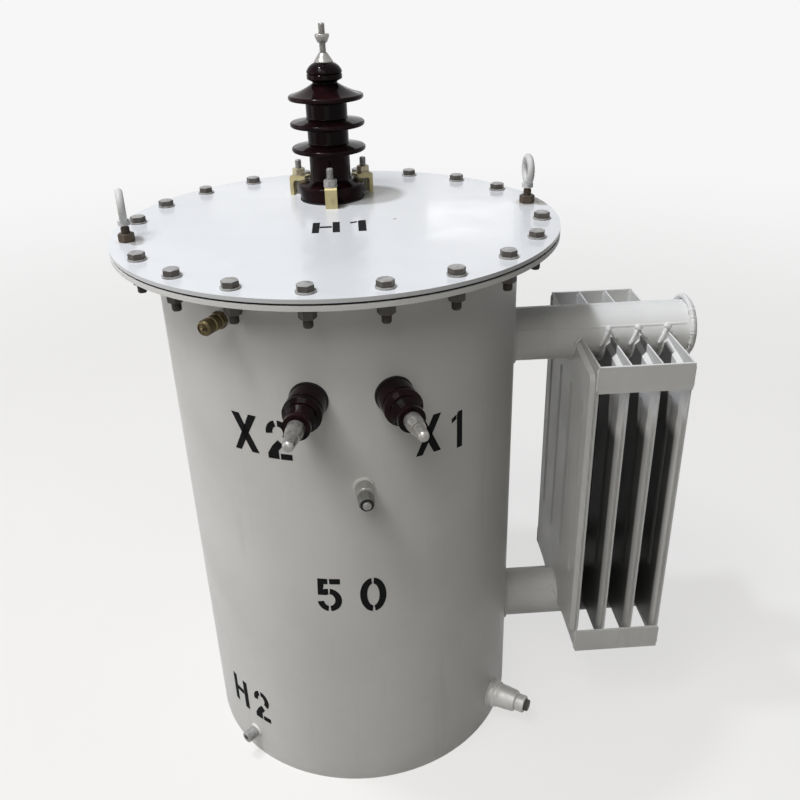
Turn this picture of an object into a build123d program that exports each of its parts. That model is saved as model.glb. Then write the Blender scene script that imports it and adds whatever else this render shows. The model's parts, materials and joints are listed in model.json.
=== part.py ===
from build123d import *
from math import asin, cos, radians, sin
import os

# Oil-filled pole transformer, standing on the rim of its tank. Millimetres, +Z up.
# The origin is on the tank's axis at floor level, +X runs along the radiator's headers
# and -Y is the low-voltage side. Angles round the tank are counted from +X, heights are
# measured from the floor, drops from the tank's rim and reaches from the tank's wall.

# Fits and small edges
seat = 0.2  # between a curved face and the round face that it is welded or clamped to
finger_play = 0.3  # between a clamp's finger and the glaze that it holds down
bolt_play = 2.0
spigot_play = 1.0
edge = 1.0  # bevel on turned metal
soft_edge = 2.0  # bevel on castings
glaze_round = 1.5  # rounding of small porcelain edges

# Tank
tank_radius = 250.0
tank_wall = 3.0
tank_height = 806.0
bottom_thickness = 4.0
bottom_recess = 12.0

# Cover, gasket and the flange that they are bolted to
cover_overhang = 55.0
flange_thickness = 6.0
flange_inset = 10.0
gasket_thickness = 3.0
gasket_inset = 2.0
cover_thickness = 5.0
bolt_circle_reach = 31.0
bolt_count = 20
bolt_diameter = 12.0
first_bolt_angle = 11.0
bolt_shank = 25.0

# Lifting eyes on studs, heights counted from the cover
eye_bolts = {"right": 0, "left": 10}
eye_turn = {"right": 93.0, "left": 105.0}
eye_nut_height = 11.0
eye_nut_flats = 19.0
eye_stud_height = 25.0
eye_collar_radius = 8.0
eye_collar_height = 6.0
eye_outer_radius = 22.0
eye_tube_radius = 5.0

# High-voltage bushing, heights counted from its gasket
hv_x = -7.5
hv_y = 130.0
hv_gasket_thickness = 2.0
hv_gasket_overhang = 1.0
hv_spigot_radius = 28.0
hv_spigot_depth = 30.0
hv_foot_radius = 46.5
hv_foot_top_radius = 50.0
hv_foot_height = 20.5
hv_shoulder_height = 28.5
hv_core_radius = 30.0
hv_shed_radius = 54.5
hv_shed_heights = (72.0, 107.2, 144.0)
hv_shed_rim = 6.0
hv_shed_rise = 7.5
hv_undercut = 3.5
hv_shed_dip = 2.0
hv_root_round = 3.0
hv_neck_radius = 16.6
hv_neck_height = 163.8
hv_cap_radius = 25.4
hv_cap_foot = 168.5
hv_cap_groove = 175.7
hv_cap_groove_depth = 1.2
hv_cap_shoulder = 179.0
hv_cap_crown = 1.8
hv_cap_top_radius = 13.0
hv_cap_top = 190.5

# High-voltage terminal
hv_stud_radius = 5.0
hv_stud_depth = 20.0
hv_stud_top = 241.5
hv_cone_foot_radius = 13.5
hv_cone_top_radius = 6.0
hv_cone_lip = 1.5
hv_cone_top = 203.0
hv_nut_foot = 216.0
hv_nut_foot_radius = 6.5
hv_nut_shoulder = 224.0
hv_nut_radius = 10.2
hv_nut_top = 227.5

# Clamps round the high-voltage bushing's foot
clamp_count = 3
clamp_first_angle = 270.0
clamp_width = 17.5
clamp_height = 30.0
clamp_reach = 68.5
clamp_leg = 6.0
clamp_tip_radius = 41.0
clamp_outer_round = 4.0
clamp_inner_round = 5.0

# Low-voltage bushings and their terminals
lv_angle = 272.0
lv_spread = 12.0
lv_drop = 136.0
lv_gasket_reach = 3.0
lv_gasket_radius = 24.5
lv_spigot_radius = 17.0
lv_spigot_depth = 25.0
lv_body_radius = 23.5
lv_body_reach = 29.0
lv_groove_radius = 21.5
lv_rib_foot = 31.0
lv_rib_radius = 24.2
lv_rib_reach = 43.5
lv_throat_radius = 19.5
lv_throat_reach = 49.5
lv_waist_radius = 16.0
lv_ring_reaches = (55.5, 59.5)
lv_ring_radius = 17.0
lv_nose_foot = 62.0
lv_nose_radius = 16.8
lv_nose_reach = 70.0
lv_socket_depth = 15.0
lv_terminal_radius = 10.9
lv_terminal_straight = 80.0
lv_shoulder_radius = 9.3
lv_shoulder_reach = 93.0
lv_tip_radius = 7.5
lv_tip_straight = 104.0
lv_tip_end_radius = 6.4
lv_tip_round = 5.5
lv_tip_reach = 115.0

# Earthing boss on the low-voltage side and the one near the floor
earth_angle = 274.0
earth_below_lv = 127.0
earth_boss_radius = 11.5
earth_boss_reach = 22.0
earth_thread_depth = 15.0
earth_washer_thickness = 3.0
earth_nut_flats = 18.0
earth_nut_height = 10.0
earth_nut_reach = 43.0
earth_stud_radius = 6.0
earth_stud_reach = 46.0
low_boss_angle = 225.0
low_boss_height = 42.5
low_boss_radius = 9.0
low_boss_reach = 21.0
low_thread_radius = 5.0
low_thread_depth = 15.0

# Pressure relief valve under the flange
relief_angle = 239.5
relief_drop = 31.0
relief_weld = 2.0
relief_boss_radius = 10.5
relief_boss_reach = 20.0
relief_nut_length = 9.0
relief_body_radius = 9.5
relief_groove_radius = 8.0
relief_groove_foot = 39.0
relief_groove_width = 4.0
relief_reach = 54.0
relief_pin_radius = 3.0
relief_pin_length = 3.0

# Drain valve near the floor
drain_angle = 327.7
drain_height = 44.5
drain_boss_radius = 22.5
drain_boss_reach = 10.0
drain_body_radius = 19.5
drain_body_taper = 2.5
drain_body_reach = 46.0
drain_end_radius = 14.0
drain_end_reach = 60.0
drain_plug_flats = 18.0
drain_reach = 66.0

# Radiator headers and their caps
header_radius = 40.0
header_wall = 3.0
lower_header_height = 144.0
upper_header_drop = 170.0
header_overhang = 35.0
cap_lip = 5.0
cap_lip_length = 6.0
cap_lip_bevel = 2.0
cap_dome = 8.0

# Radiator fins: two pressed sheets that meet in a flat seam all round
fin_count = 4
first_fin_reach = 94.5
fin_pitch = 43.4
fin_width = 286.0
fin_overshoot = 7.5
seam_thickness = 2.4
seam_corner = 3.0
body_thickness = 14.0
body_inset = 10.0
body_shoulder = 6.0
body_slope = 12.0
body_corner = 18.0
press_angle = 45.0
flute_count = 4
flute_pitch = 63.0
flute_width = 14.0
flute_depth = 3.0
flute_angle = 60.0
flute_length = 308.0
flute_rise = 23.0

# Flat strips across the fins' front and rear edges
strip_thickness = 4.0
strip_height = 40.0

# Hanger brackets on the side away from the low-voltage bushings
hanger_spacing = 286.0
upper_hanger_drop = 190.0
hanger_width = 90.0
hanger_height = 90.0
hanger_plate = 8.0
hanger_clearance = 20.0
hanger_slot_width = 22.0
hanger_slot_length = 38.0

# Sizes that follow from the ones above
cover_radius = tank_radius + cover_overhang
flange_bore = tank_radius - flange_inset
bolt_circle_radius = tank_radius + bolt_circle_reach
flange_top = tank_height + flange_thickness
gasket_top = flange_top + gasket_thickness
cover_top = gasket_top + cover_thickness
hv_seat = cover_top + hv_gasket_thickness
bolt_hole_radius = (bolt_diameter + bolt_play) / 2
lv_height = tank_height - lv_drop
earth_height = lv_height - earth_below_lv
relief_height = tank_height - relief_drop
header_heights = {"lower": lower_header_height, "upper": tank_height - upper_header_drop}
header_spacing = header_heights["upper"] - header_heights["lower"]
upper_hanger_height = tank_height - upper_hanger_drop
hanger_heights = {"lower": upper_hanger_height - hanger_spacing, "upper": upper_hanger_height}
hanger_face = cover_radius + hanger_clearance
lv_places = {"left": lv_angle - lv_spread, "right": lv_angle + lv_spread}
fin_height = header_spacing + 2 * fin_overshoot
fin_bottom = lower_header_height - fin_overshoot
fin_top = fin_bottom + fin_height
fin_middle = (fin_bottom + fin_top) / 2
first_fin = tank_radius + first_fin_reach
fin_places = [first_fin + number * fin_pitch for number in range(fin_count)]
header_end = fin_places[-1] + header_overhang

os.makedirs("parts", exist_ok=True)


def save(piece, name):
    """Labels a finished piece and writes its STEP file."""
    piece.part.label = name
    export_step(piece.part, f"parts/{name}.step")


def outward(angle):
    """Unit vector that points out of the tank at an angle round it."""
    return Vector(cos(radians(angle)), sin(radians(angle)), 0)


def wall_point(angle, height, reach=0.0):
    """Point at a distance out from the tank's outer face."""
    return outward(angle) * (tank_radius + reach) + Vector(0, 0, height)


def wall_plane(angle, height, reach=0.0):
    """Plane that faces out of the tank, for sketches of round and hexagonal outlines."""
    return Plane(origin=wall_point(angle, height, reach), x_dir=(0, 0, 1), z_dir=outward(angle))


def corners_at(sketch, radius):
    """Corners of a turned outline that lie at one radius."""
    return sketch.vertices().filter_by_position(Axis.X, radius - seat, radius + seat)


def turn_on_wall(angle, height, outline, rounds=()):
    """Turns an outline of (radius, reach) points about an axis that leaves the tank squarely.

    Each of the rounds is the radius at which corners of the outline lie and their rounding.
    """
    side = Vector(0, 0, 1).cross(outward(angle))
    turning_plane = Plane(origin=wall_point(angle, height), x_dir=(0, 0, 1), z_dir=side)
    with BuildSketch(turning_plane) as profile:
        with BuildLine():
            Polyline(*outline, close=True)
        make_face()
        for radius, rounding in rounds:
            fillet(corners_at(profile, radius), rounding)
    revolve(profile.sketch, axis=Axis(wall_point(angle, height), outward(angle)))


def cut_to_wall():
    """Cuts a fitting to the round outer face of the tank."""
    with BuildSketch() as wall:
        Circle(tank_radius + seat)
    extrude(wall.sketch, amount=tank_height, mode=Mode.SUBTRACT)


def bolt_holes():
    """Cuts the ring of cover bolt holes through the flat ring that is being sketched."""
    with PolarLocations(bolt_circle_radius, bolt_count, first_bolt_angle):
        Circle(bolt_hole_radius, mode=Mode.SUBTRACT)


# Tank shell, open to its low-voltage bushings and headers
with BuildPart() as tank_shell:
    with BuildSketch():
        Circle(tank_radius)
        Circle(tank_radius - tank_wall, mode=Mode.SUBTRACT)
    extrude(amount=tank_height)
    for angle in lv_places.values():
        with BuildSketch(wall_plane(angle, lv_height, -2 * lv_spigot_depth)):
            Circle(lv_spigot_radius + spigot_play)
        extrude(amount=3 * lv_spigot_depth, mode=Mode.SUBTRACT)
    with BuildSketch(Plane.YZ):
        with Locations(*[(0, height) for height in header_heights.values()]):
            Circle(header_radius - header_wall)
    extrude(amount=tank_radius, mode=Mode.SUBTRACT)
save(tank_shell, "tank_shell")

with BuildPart() as tank_bottom:
    with BuildSketch(Plane.XY.offset(bottom_recess)):
        Circle(tank_radius - tank_wall - seat)
    extrude(amount=bottom_thickness)
save(tank_bottom, "tank_bottom")

with BuildPart() as tank_flange:
    with BuildSketch(Plane.XY.offset(tank_height)):
        Circle(cover_radius)
        Circle(flange_bore, mode=Mode.SUBTRACT)
        bolt_holes()
    extrude(amount=flange_thickness)
save(tank_flange, "tank_flange")

with BuildPart() as cover_gasket:
    with BuildSketch(Plane.XY.offset(flange_top)):
        Circle(cover_radius - gasket_inset)
        Circle(flange_bore + gasket_inset, mode=Mode.SUBTRACT)
        bolt_holes()
    extrude(amount=gasket_thickness)
save(cover_gasket, "cover_gasket")

with BuildPart() as cover_plate:
    with BuildSketch(Plane.XY.offset(gasket_top)):
        Circle(cover_radius)
        bolt_holes()
        with Locations((hv_x, hv_y)):
            Circle(hv_spigot_radius + spigot_play, mode=Mode.SUBTRACT)
    extrude(amount=cover_thickness)
save(cover_plate, "cover_plate")

with BuildPart() as hv_gasket:
    with BuildSketch(Plane.XY.offset(cover_top)):
        with Locations((hv_x, hv_y)):
            Circle(hv_foot_radius + hv_gasket_overhang)
            Circle(hv_spigot_radius + spigot_play, mode=Mode.SUBTRACT)
    extrude(amount=hv_gasket_thickness)
save(hv_gasket, "hv_gasket")

# High-voltage bushing: a foot, a core with three sheds and a waisted cap
hv_plane = Plane(origin=(hv_x, hv_y, hv_seat), x_dir=(1, 0, 0), z_dir=(0, -1, 0))
hv_axis = Axis((hv_x, hv_y, 0), (0, 0, 1))
hv_outline = [
    (0, -hv_spigot_depth),
    (hv_spigot_radius, -hv_spigot_depth),
    (hv_spigot_radius, 0),
    (hv_foot_radius, 0),
    (hv_foot_top_radius, hv_foot_height),
    (hv_core_radius, hv_shoulder_height),
]
for height in hv_shed_heights:
    hv_outline += [
        (hv_core_radius, height - hv_shed_rim / 2 - hv_undercut),
        (hv_shed_radius, height - hv_shed_rim / 2),
        (hv_shed_radius, height + hv_shed_rim / 2),
    ]
    if height != hv_shed_heights[-1]:
        hv_outline.append((hv_core_radius, height + hv_shed_rise))
hv_cap_edge = hv_cap_radius - hv_cap_groove_depth
with BuildPart() as hv_porcelain:
    with BuildSketch(hv_plane) as hv_profile:
        with BuildLine():
            Polyline(*hv_outline)
            SagittaArc(hv_outline[-1], (hv_neck_radius, hv_neck_height), hv_shed_dip)
            Polyline(
                (hv_neck_radius, hv_neck_height),
                (hv_cap_radius, hv_cap_foot),
                (hv_cap_radius, hv_cap_groove - hv_cap_groove_depth),
                (hv_cap_edge, hv_cap_groove),
                (hv_cap_radius, hv_cap_groove + hv_cap_groove_depth),
                (hv_cap_radius, hv_cap_shoulder),
            )
            SagittaArc((hv_cap_radius, hv_cap_shoulder), (hv_cap_top_radius, hv_cap_top), -hv_cap_crown)
            Polyline(
                (hv_cap_top_radius, hv_cap_top),
                (hv_stud_radius, hv_cap_top),
                (hv_stud_radius, hv_cap_top - hv_stud_depth),
                (0, hv_cap_top - hv_stud_depth),
                (0, -hv_spigot_depth),
            )
        make_face()
        fillet(corners_at(hv_profile, hv_foot_top_radius), hv_root_round)
        fillet(corners_at(hv_profile, hv_core_radius), hv_root_round)
        fillet(corners_at(hv_profile, hv_shed_radius), hv_shed_rim / 2)
        fillet(corners_at(hv_profile, hv_neck_radius), glaze_round)
        fillet(corners_at(hv_profile, hv_cap_radius).sort_by(Axis.Y)[0], glaze_round)
    revolve(axis=hv_axis)
save(hv_porcelain, "hv_porcelain")

with BuildPart() as hv_terminal:
    with BuildSketch(hv_plane):
        with BuildLine():
            Polyline(
                (0, hv_cap_top - hv_stud_depth),
                (hv_stud_radius, hv_cap_top - hv_stud_depth),
                (hv_stud_radius, hv_cap_top),
                (hv_cone_foot_radius, hv_cap_top),
                (hv_cone_foot_radius, hv_cap_top + hv_cone_lip),
                (hv_cone_top_radius, hv_cone_top),
                (hv_stud_radius, hv_cone_top),
                (hv_stud_radius, hv_nut_foot),
                (hv_nut_foot_radius, hv_nut_foot),
                (hv_nut_radius, hv_nut_shoulder),
                (hv_nut_radius, hv_nut_top),
                (hv_stud_radius, hv_nut_top),
                (hv_stud_radius, hv_stud_top - edge),
                (hv_stud_radius - edge, hv_stud_top),
                (0, hv_stud_top),
                close=True,
            )
        make_face()
    revolve(axis=hv_axis)
save(hv_terminal, "hv_terminal")

# Clamps: each stands on the cover and holds the foot's shoulder down with a sloping finger
shoulder_slope = (hv_shoulder_height - hv_foot_height) / (hv_foot_top_radius - hv_core_radius)
finger_foot = hv_gasket_thickness + hv_foot_height + finger_play
finger_tip = finger_foot + shoulder_slope * (hv_foot_top_radius - clamp_tip_radius)
for number in range(clamp_count):
    direction = outward(clamp_first_angle + number * 360 / clamp_count)
    clamp_plane = Plane(
        origin=(hv_x, hv_y, cover_top),
        x_dir=direction,
        z_dir=direction.cross(Vector(0, 0, 1)),
    )
    with BuildPart() as hv_clamp:
        with BuildSketch(clamp_plane) as clamp_profile:
            with BuildLine():
                Polyline(
                    (clamp_reach, 0),
                    (clamp_reach, clamp_height),
                    (clamp_tip_radius, clamp_height),
                    (clamp_tip_radius, finger_tip),
                    (hv_foot_top_radius, finger_foot),
                    (clamp_reach - clamp_leg, finger_foot),
                    (clamp_reach - clamp_leg, 0),
                    close=True,
                )
            make_face()
            outer_corner = corners_at(clamp_profile, clamp_reach).sort_by(Axis.Y)[-1]
            fillet(outer_corner, clamp_outer_round)
            inner_corner = corners_at(clamp_profile, clamp_reach - clamp_leg).sort_by(Axis.Y)[-1]
            fillet(inner_corner, clamp_inner_round)
        extrude(amount=clamp_width / 2, both=True)
    save(hv_clamp, f"hv_clamp_{number + 1}")

# Low-voltage bushings, their gaskets and their terminals
lv_rings = []
for reach in lv_ring_reaches:
    lv_rings += [(lv_waist_radius, reach - edge), (lv_ring_radius, reach), (lv_waist_radius, reach + edge)]
for side, angle in lv_places.items():
    with BuildPart() as lv_gasket:
        turn_on_wall(angle, lv_height, [
            (lv_spigot_radius + spigot_play, -lv_spigot_depth),
            (lv_gasket_radius, -lv_spigot_depth),
            (lv_gasket_radius, lv_gasket_reach),
            (lv_spigot_radius + spigot_play, lv_gasket_reach),
        ])
        cut_to_wall()
    save(lv_gasket, f"lv_gasket_{side}")

    with BuildPart() as lv_bushing:
        turn_on_wall(angle, lv_height, [
            (0, -lv_spigot_depth),
            (lv_spigot_radius, -lv_spigot_depth),
            (lv_spigot_radius, lv_gasket_reach),
            (lv_body_radius, lv_gasket_reach),
            (lv_body_radius, lv_body_reach),
            (lv_groove_radius, lv_body_reach),
            (lv_groove_radius, lv_rib_foot),
            (lv_rib_radius, lv_rib_foot + soft_edge),
            (lv_rib_radius, lv_rib_reach - 2 * soft_edge),
            (lv_throat_radius, lv_rib_reach),
            (lv_throat_radius, lv_throat_reach),
            (lv_waist_radius, lv_throat_reach + 2 * soft_edge),
            *lv_rings,
            (lv_waist_radius, lv_nose_foot),
            (lv_nose_radius, lv_nose_foot + edge),
            (lv_nose_radius, lv_nose_reach),
            (lv_tip_radius, lv_nose_reach),
            (lv_tip_radius, lv_nose_reach - lv_socket_depth),
            (0, lv_nose_reach - lv_socket_depth),
        ], rounds=[(lv_body_radius, edge), (lv_rib_radius, edge)])
    save(lv_bushing, f"lv_bushing_{side}")

    with BuildPart() as lv_terminal:
        turn_on_wall(angle, lv_height, [
            (0, lv_nose_reach - lv_socket_depth),
            (lv_tip_radius, lv_nose_reach - lv_socket_depth),
            (lv_tip_radius, lv_nose_reach),
            (lv_terminal_radius, lv_nose_reach),
            (lv_terminal_radius, lv_terminal_straight),
            (lv_shoulder_radius, lv_shoulder_reach),
            (lv_tip_radius, lv_shoulder_reach),
            (lv_tip_radius, lv_tip_straight),
            (lv_tip_end_radius, lv_tip_reach),
            (0, lv_tip_reach),
        ], rounds=[(lv_tip_end_radius, lv_tip_round)])
    save(lv_terminal, f"lv_terminal_{side}")

# Lifting eyes, each on a long stud that takes the place of a cover bolt
ring_radius = eye_outer_radius - eye_tube_radius
ring_height = cover_top + eye_stud_height + eye_outer_radius
for side, bolt in eye_bolts.items():
    foot = outward(first_bolt_angle + bolt * 360 / bolt_count) * bolt_circle_radius
    with BuildPart() as eye_stud:
        with BuildSketch(Plane.XY.offset(cover_top - bolt_shank)):
            with Locations((foot.X, foot.Y)):
                Circle(bolt_diameter / 2)
        extrude(amount=bolt_shank + eye_stud_height - eye_collar_height / 2)
        with BuildSketch(Plane.XY.offset(cover_top)):
            with Locations((foot.X, foot.Y)):
                RegularPolygon(eye_nut_flats / 2, 6, major_radius=False)
        extrude(amount=eye_nut_height)
    save(eye_stud, f"eye_stud_{side}")

    ring_centre = Vector(foot.X, foot.Y, ring_height)
    with BuildPart() as lifting_eye:
        with BuildSketch(Plane(origin=ring_centre, x_dir=outward(eye_turn[side]), z_dir=(0, 0, 1))):
            with Locations((ring_radius, 0)):
                Circle(eye_tube_radius)
        revolve(axis=Axis(ring_centre, outward(eye_turn[side] - 90)))
        with BuildSketch(Plane.XY.offset(cover_top + eye_stud_height - eye_collar_height / 2)):
            with Locations((foot.X, foot.Y)):
                Circle(eye_collar_radius)
        extrude(amount=eye_collar_height)
    save(lifting_eye, f"lifting_eye_{side}")

# Earthing boss with its stud, and the open tapped boss near the floor
with BuildPart() as earth_boss:
    turn_on_wall(earth_angle, earth_height, [
        (0, -earth_boss_radius),
        (earth_boss_radius, -earth_boss_radius),
        (earth_boss_radius, earth_boss_reach - edge),
        (earth_boss_radius - edge, earth_boss_reach),
        (earth_stud_radius, earth_boss_reach),
        (earth_stud_radius, earth_boss_reach - earth_thread_depth),
        (0, earth_boss_reach - earth_thread_depth),
    ])
    cut_to_wall()
save(earth_boss, "earth_boss")

with BuildPart() as earth_stud:
    turn_on_wall(earth_angle, earth_height, [
        (0, earth_boss_reach - earth_thread_depth),
        (earth_stud_radius, earth_boss_reach - earth_thread_depth),
        (earth_stud_radius, earth_boss_reach),
        (earth_boss_radius, earth_boss_reach),
        (earth_boss_radius, earth_boss_reach + earth_washer_thickness),
        (earth_stud_radius, earth_boss_reach + earth_washer_thickness),
        (earth_stud_radius, earth_stud_reach - edge),
        (earth_stud_radius - edge, earth_stud_reach),
        (0, earth_stud_reach),
    ])
    with BuildSketch(wall_plane(earth_angle, earth_height, earth_nut_reach - earth_nut_height)):
        RegularPolygon(earth_nut_flats / 2, 6, major_radius=False)
    extrude(amount=earth_nut_height)
save(earth_stud, "earth_stud")

with BuildPart() as low_earth_boss:
    turn_on_wall(low_boss_angle, low_boss_height, [
        (0, -low_boss_radius),
        (low_boss_radius, -low_boss_radius),
        (low_boss_radius, low_boss_reach - edge),
        (low_boss_radius - edge, low_boss_reach),
        (low_thread_radius, low_boss_reach),
        (low_thread_radius, low_boss_reach - low_thread_depth),
        (0, low_boss_reach - low_thread_depth),
    ])
    cut_to_wall()
save(low_earth_boss, "low_earth_boss")

# Pressure relief valve on its welded boss
with BuildPart() as relief_boss:
    turn_on_wall(relief_angle, relief_height, [
        (0, -relief_boss_radius),
        (relief_boss_radius + relief_weld, -relief_boss_radius),
        (relief_boss_radius + relief_weld, relief_weld),
        (relief_boss_radius, 2 * relief_weld),
        (relief_boss_radius, relief_boss_reach),
        (0, relief_boss_reach),
    ])
    cut_to_wall()
save(relief_boss, "relief_boss")

relief_groove_end = relief_groove_foot + relief_groove_width
with BuildPart() as relief_valve:
    turn_on_wall(relief_angle, relief_height, [
        (0, relief_boss_reach),
        (relief_body_radius, relief_boss_reach),
        (relief_body_radius, relief_groove_foot),
        (relief_groove_radius, relief_groove_foot + edge),
        (relief_groove_radius, relief_groove_end - edge),
        (relief_body_radius, relief_groove_end),
        (relief_body_radius, relief_reach - soft_edge),
        (relief_body_radius - soft_edge, relief_reach),
        (relief_pin_radius, relief_reach),
        (relief_pin_radius, relief_reach + relief_pin_length),
        (0, relief_reach + relief_pin_length),
    ])
    with BuildSketch(wall_plane(relief_angle, relief_height, relief_boss_reach)):
        RegularPolygon(relief_body_radius, 6, major_radius=False)
    extrude(amount=relief_nut_length)
save(relief_valve, "relief_valve")

# Drain valve on its welded collar
with BuildPart() as drain_boss:
    turn_on_wall(drain_angle, drain_height, [
        (0, -drain_boss_radius),
        (drain_boss_radius, -drain_boss_radius),
        (drain_boss_radius, drain_boss_reach - soft_edge),
        (drain_boss_radius - soft_edge, drain_boss_reach),
        (0, drain_boss_reach),
    ])
    cut_to_wall()
save(drain_boss, "drain_boss")

with BuildPart() as drain_valve:
    turn_on_wall(drain_angle, drain_height, [
        (0, drain_boss_reach),
        (drain_body_radius, drain_boss_reach),
        (drain_body_radius - drain_body_taper, drain_body_reach - soft_edge),
        (drain_body_radius - drain_body_taper - soft_edge, drain_body_reach),
        (drain_end_radius, drain_body_reach),
        (drain_end_radius, drain_end_reach - edge),
        (drain_end_radius - edge, drain_end_reach),
        (0, drain_end_reach),
    ])
save(drain_valve, "drain_valve")

with BuildPart() as drain_plug:
    with BuildSketch(wall_plane(drain_angle, drain_height, drain_end_reach)):
        RegularPolygon(drain_plug_flats / 2, 6, major_radius=False)
    extrude(amount=drain_reach - drain_end_reach)
save(drain_plug, "drain_plug")

# Headers, each with a welded and slightly domed end cap
cap_radius = header_radius + cap_lip
dome_rim = cap_radius - cap_lip_bevel
dome_top = cap_lip_length + cap_dome
dome_radius = (dome_rim**2 + cap_dome**2) / (2 * cap_dome)
half_dome = asin(dome_rim / dome_radius) / 2
for level, height in header_heights.items():
    with BuildPart() as header:
        with BuildSketch(Plane.YZ):
            with Locations((0, height)):
                Circle(header_radius)
                Circle(header_radius - header_wall, mode=Mode.SUBTRACT)
        extrude(amount=header_end)
        cut_to_wall()
    save(header, f"{level}_header")

    with BuildPart() as header_cap:
        with BuildSketch(Plane(origin=(header_end, 0, height), x_dir=(0, 0, 1), z_dir=(0, 1, 0))):
            with BuildLine():
                Polyline(
                    (0, dome_top),
                    (0, 0),
                    (cap_radius, 0),
                    (cap_radius, cap_lip_length - cap_lip_bevel),
                    (dome_rim, cap_lip_length),
                )
                ThreePointArc(
                    (dome_rim, cap_lip_length),
                    (dome_radius * sin(half_dome), dome_top - dome_radius * (1 - cos(half_dome))),
                    (0, dome_top),
                )
            make_face()
        revolve(axis=Axis((header_end, 0, height), (1, 0, 0)))
    save(header_cap, f"{level}_header_cap")

# Fins, notched to sit on the headers
body_side = fin_width / 2 - body_inset
body_end = fin_height / 2 - body_shoulder
flute_places = [(number - (flute_count - 1) / 2) * flute_pitch for number in range(flute_count)]
for number, place in enumerate(fin_places):
    middle = Plane(origin=(place, 0, fin_middle), x_dir=(0, 1, 0), z_dir=(1, 0, 0))
    with BuildPart() as radiator_fin:
        with BuildSketch(middle) as pressed:
            with BuildLine():
                Polyline(
                    (header_radius, body_end),
                    (body_side, body_end - body_slope),
                    (body_side, body_slope - body_end),
                    (header_radius, -body_end),
                    (-header_radius, -body_end),
                    (-body_side, body_slope - body_end),
                    (-body_side, body_end - body_slope),
                    (-header_radius, body_end),
                    close=True,
                )
            make_face()
            fillet(corners_at(pressed, body_side), body_corner)
            fillet(corners_at(pressed, -body_side), body_corner)
        extrude(amount=body_thickness / 2, both=True, taper=press_angle)
        with BuildSketch(middle) as seam:
            Rectangle(fin_width, fin_height)
            fillet(seam.vertices(), seam_corner)
        extrude(amount=seam_thickness / 2, both=True)
        for face in (1, -1):
            flute_plane = Plane(
                origin=(place + face * body_thickness / 2, 0, fin_middle + flute_rise),
                x_dir=(0, 1, 0),
                z_dir=(face, 0, 0),
            )
            with BuildSketch(flute_plane):
                with Locations(*[(spot, 0) for spot in flute_places]):
                    SlotOverall(flute_length, flute_width, rotation=90)
            extrude(amount=-flute_depth, taper=flute_angle, mode=Mode.SUBTRACT)
        with BuildSketch(Plane(origin=(place, 0, 0), x_dir=(0, 1, 0), z_dir=(1, 0, 0))):
            for height, end in zip(header_heights.values(), (-1, 1)):
                with Locations((0, height)):
                    Circle(header_radius + seat)
                with Locations((0, height + end * header_radius / 2)):
                    Rectangle(2 * (header_radius + seat), header_radius)
        extrude(amount=body_thickness, both=True, mode=Mode.SUBTRACT)
    save(radiator_fin, f"radiator_fin_{number + 1}")

strip_length = fin_places[-1] - fin_places[0] + seam_thickness
strip_middle = (fin_places[0] + fin_places[-1]) / 2
strip_heights = {"bottom": fin_bottom + strip_height / 2, "top": fin_top - strip_height / 2}
for face, direction in {"front": -1, "rear": 1}.items():
    for level, height in strip_heights.items():
        with BuildPart() as tie_strip:
            with Locations((strip_middle, direction * (fin_width + strip_thickness) / 2, height)):
                Box(strip_length, strip_thickness, strip_height)
        save(tie_strip, f"tie_strip_{face}_{level}")

# Hanger brackets: bent plates welded to the tank, each with an upright slot for the pole's bolt
for level, height in hanger_heights.items():
    with BuildPart() as hanger:
        with BuildSketch(Plane.XY.offset(height - hanger_height / 2)):
            with Locations((0, hanger_face / 2)):
                Rectangle(hanger_width, hanger_face)
            with Locations((0, (hanger_face - hanger_plate) / 2)):
                Rectangle(hanger_width - 2 * hanger_plate, hanger_face - hanger_plate, mode=Mode.SUBTRACT)
        extrude(amount=hanger_height)
        cut_to_wall()
        with BuildSketch(Plane(origin=(0, hanger_face, height), x_dir=(1, 0, 0), z_dir=(0, -1, 0))):
            SlotOverall(hanger_slot_length, hanger_slot_width, rotation=90)
        extrude(amount=hanger_plate, both=True, mode=Mode.SUBTRACT)
    save(hanger, f"{level}_hanger")
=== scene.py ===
"""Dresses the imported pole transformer: finishes, fasteners, welds, threads, stencils and wear.

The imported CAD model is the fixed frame. Metres, +Z up, with the origin on the tank's axis at
floor level, +X along the radiator's headers and -Y towards the low-voltage bushings. Angles
round the tank are counted from +X, and reaches outwards from the tank's wall.
"""

from __future__ import annotations

import json
import logging
import random
from collections.abc import Sequence
from dataclasses import dataclass, field
from enum import Enum
from itertools import product
from math import cos, degrees, hypot, pi, radians, sin, sqrt, tan

import bmesh
import bpy
from mathutils import Matrix, Vector, noise

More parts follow.
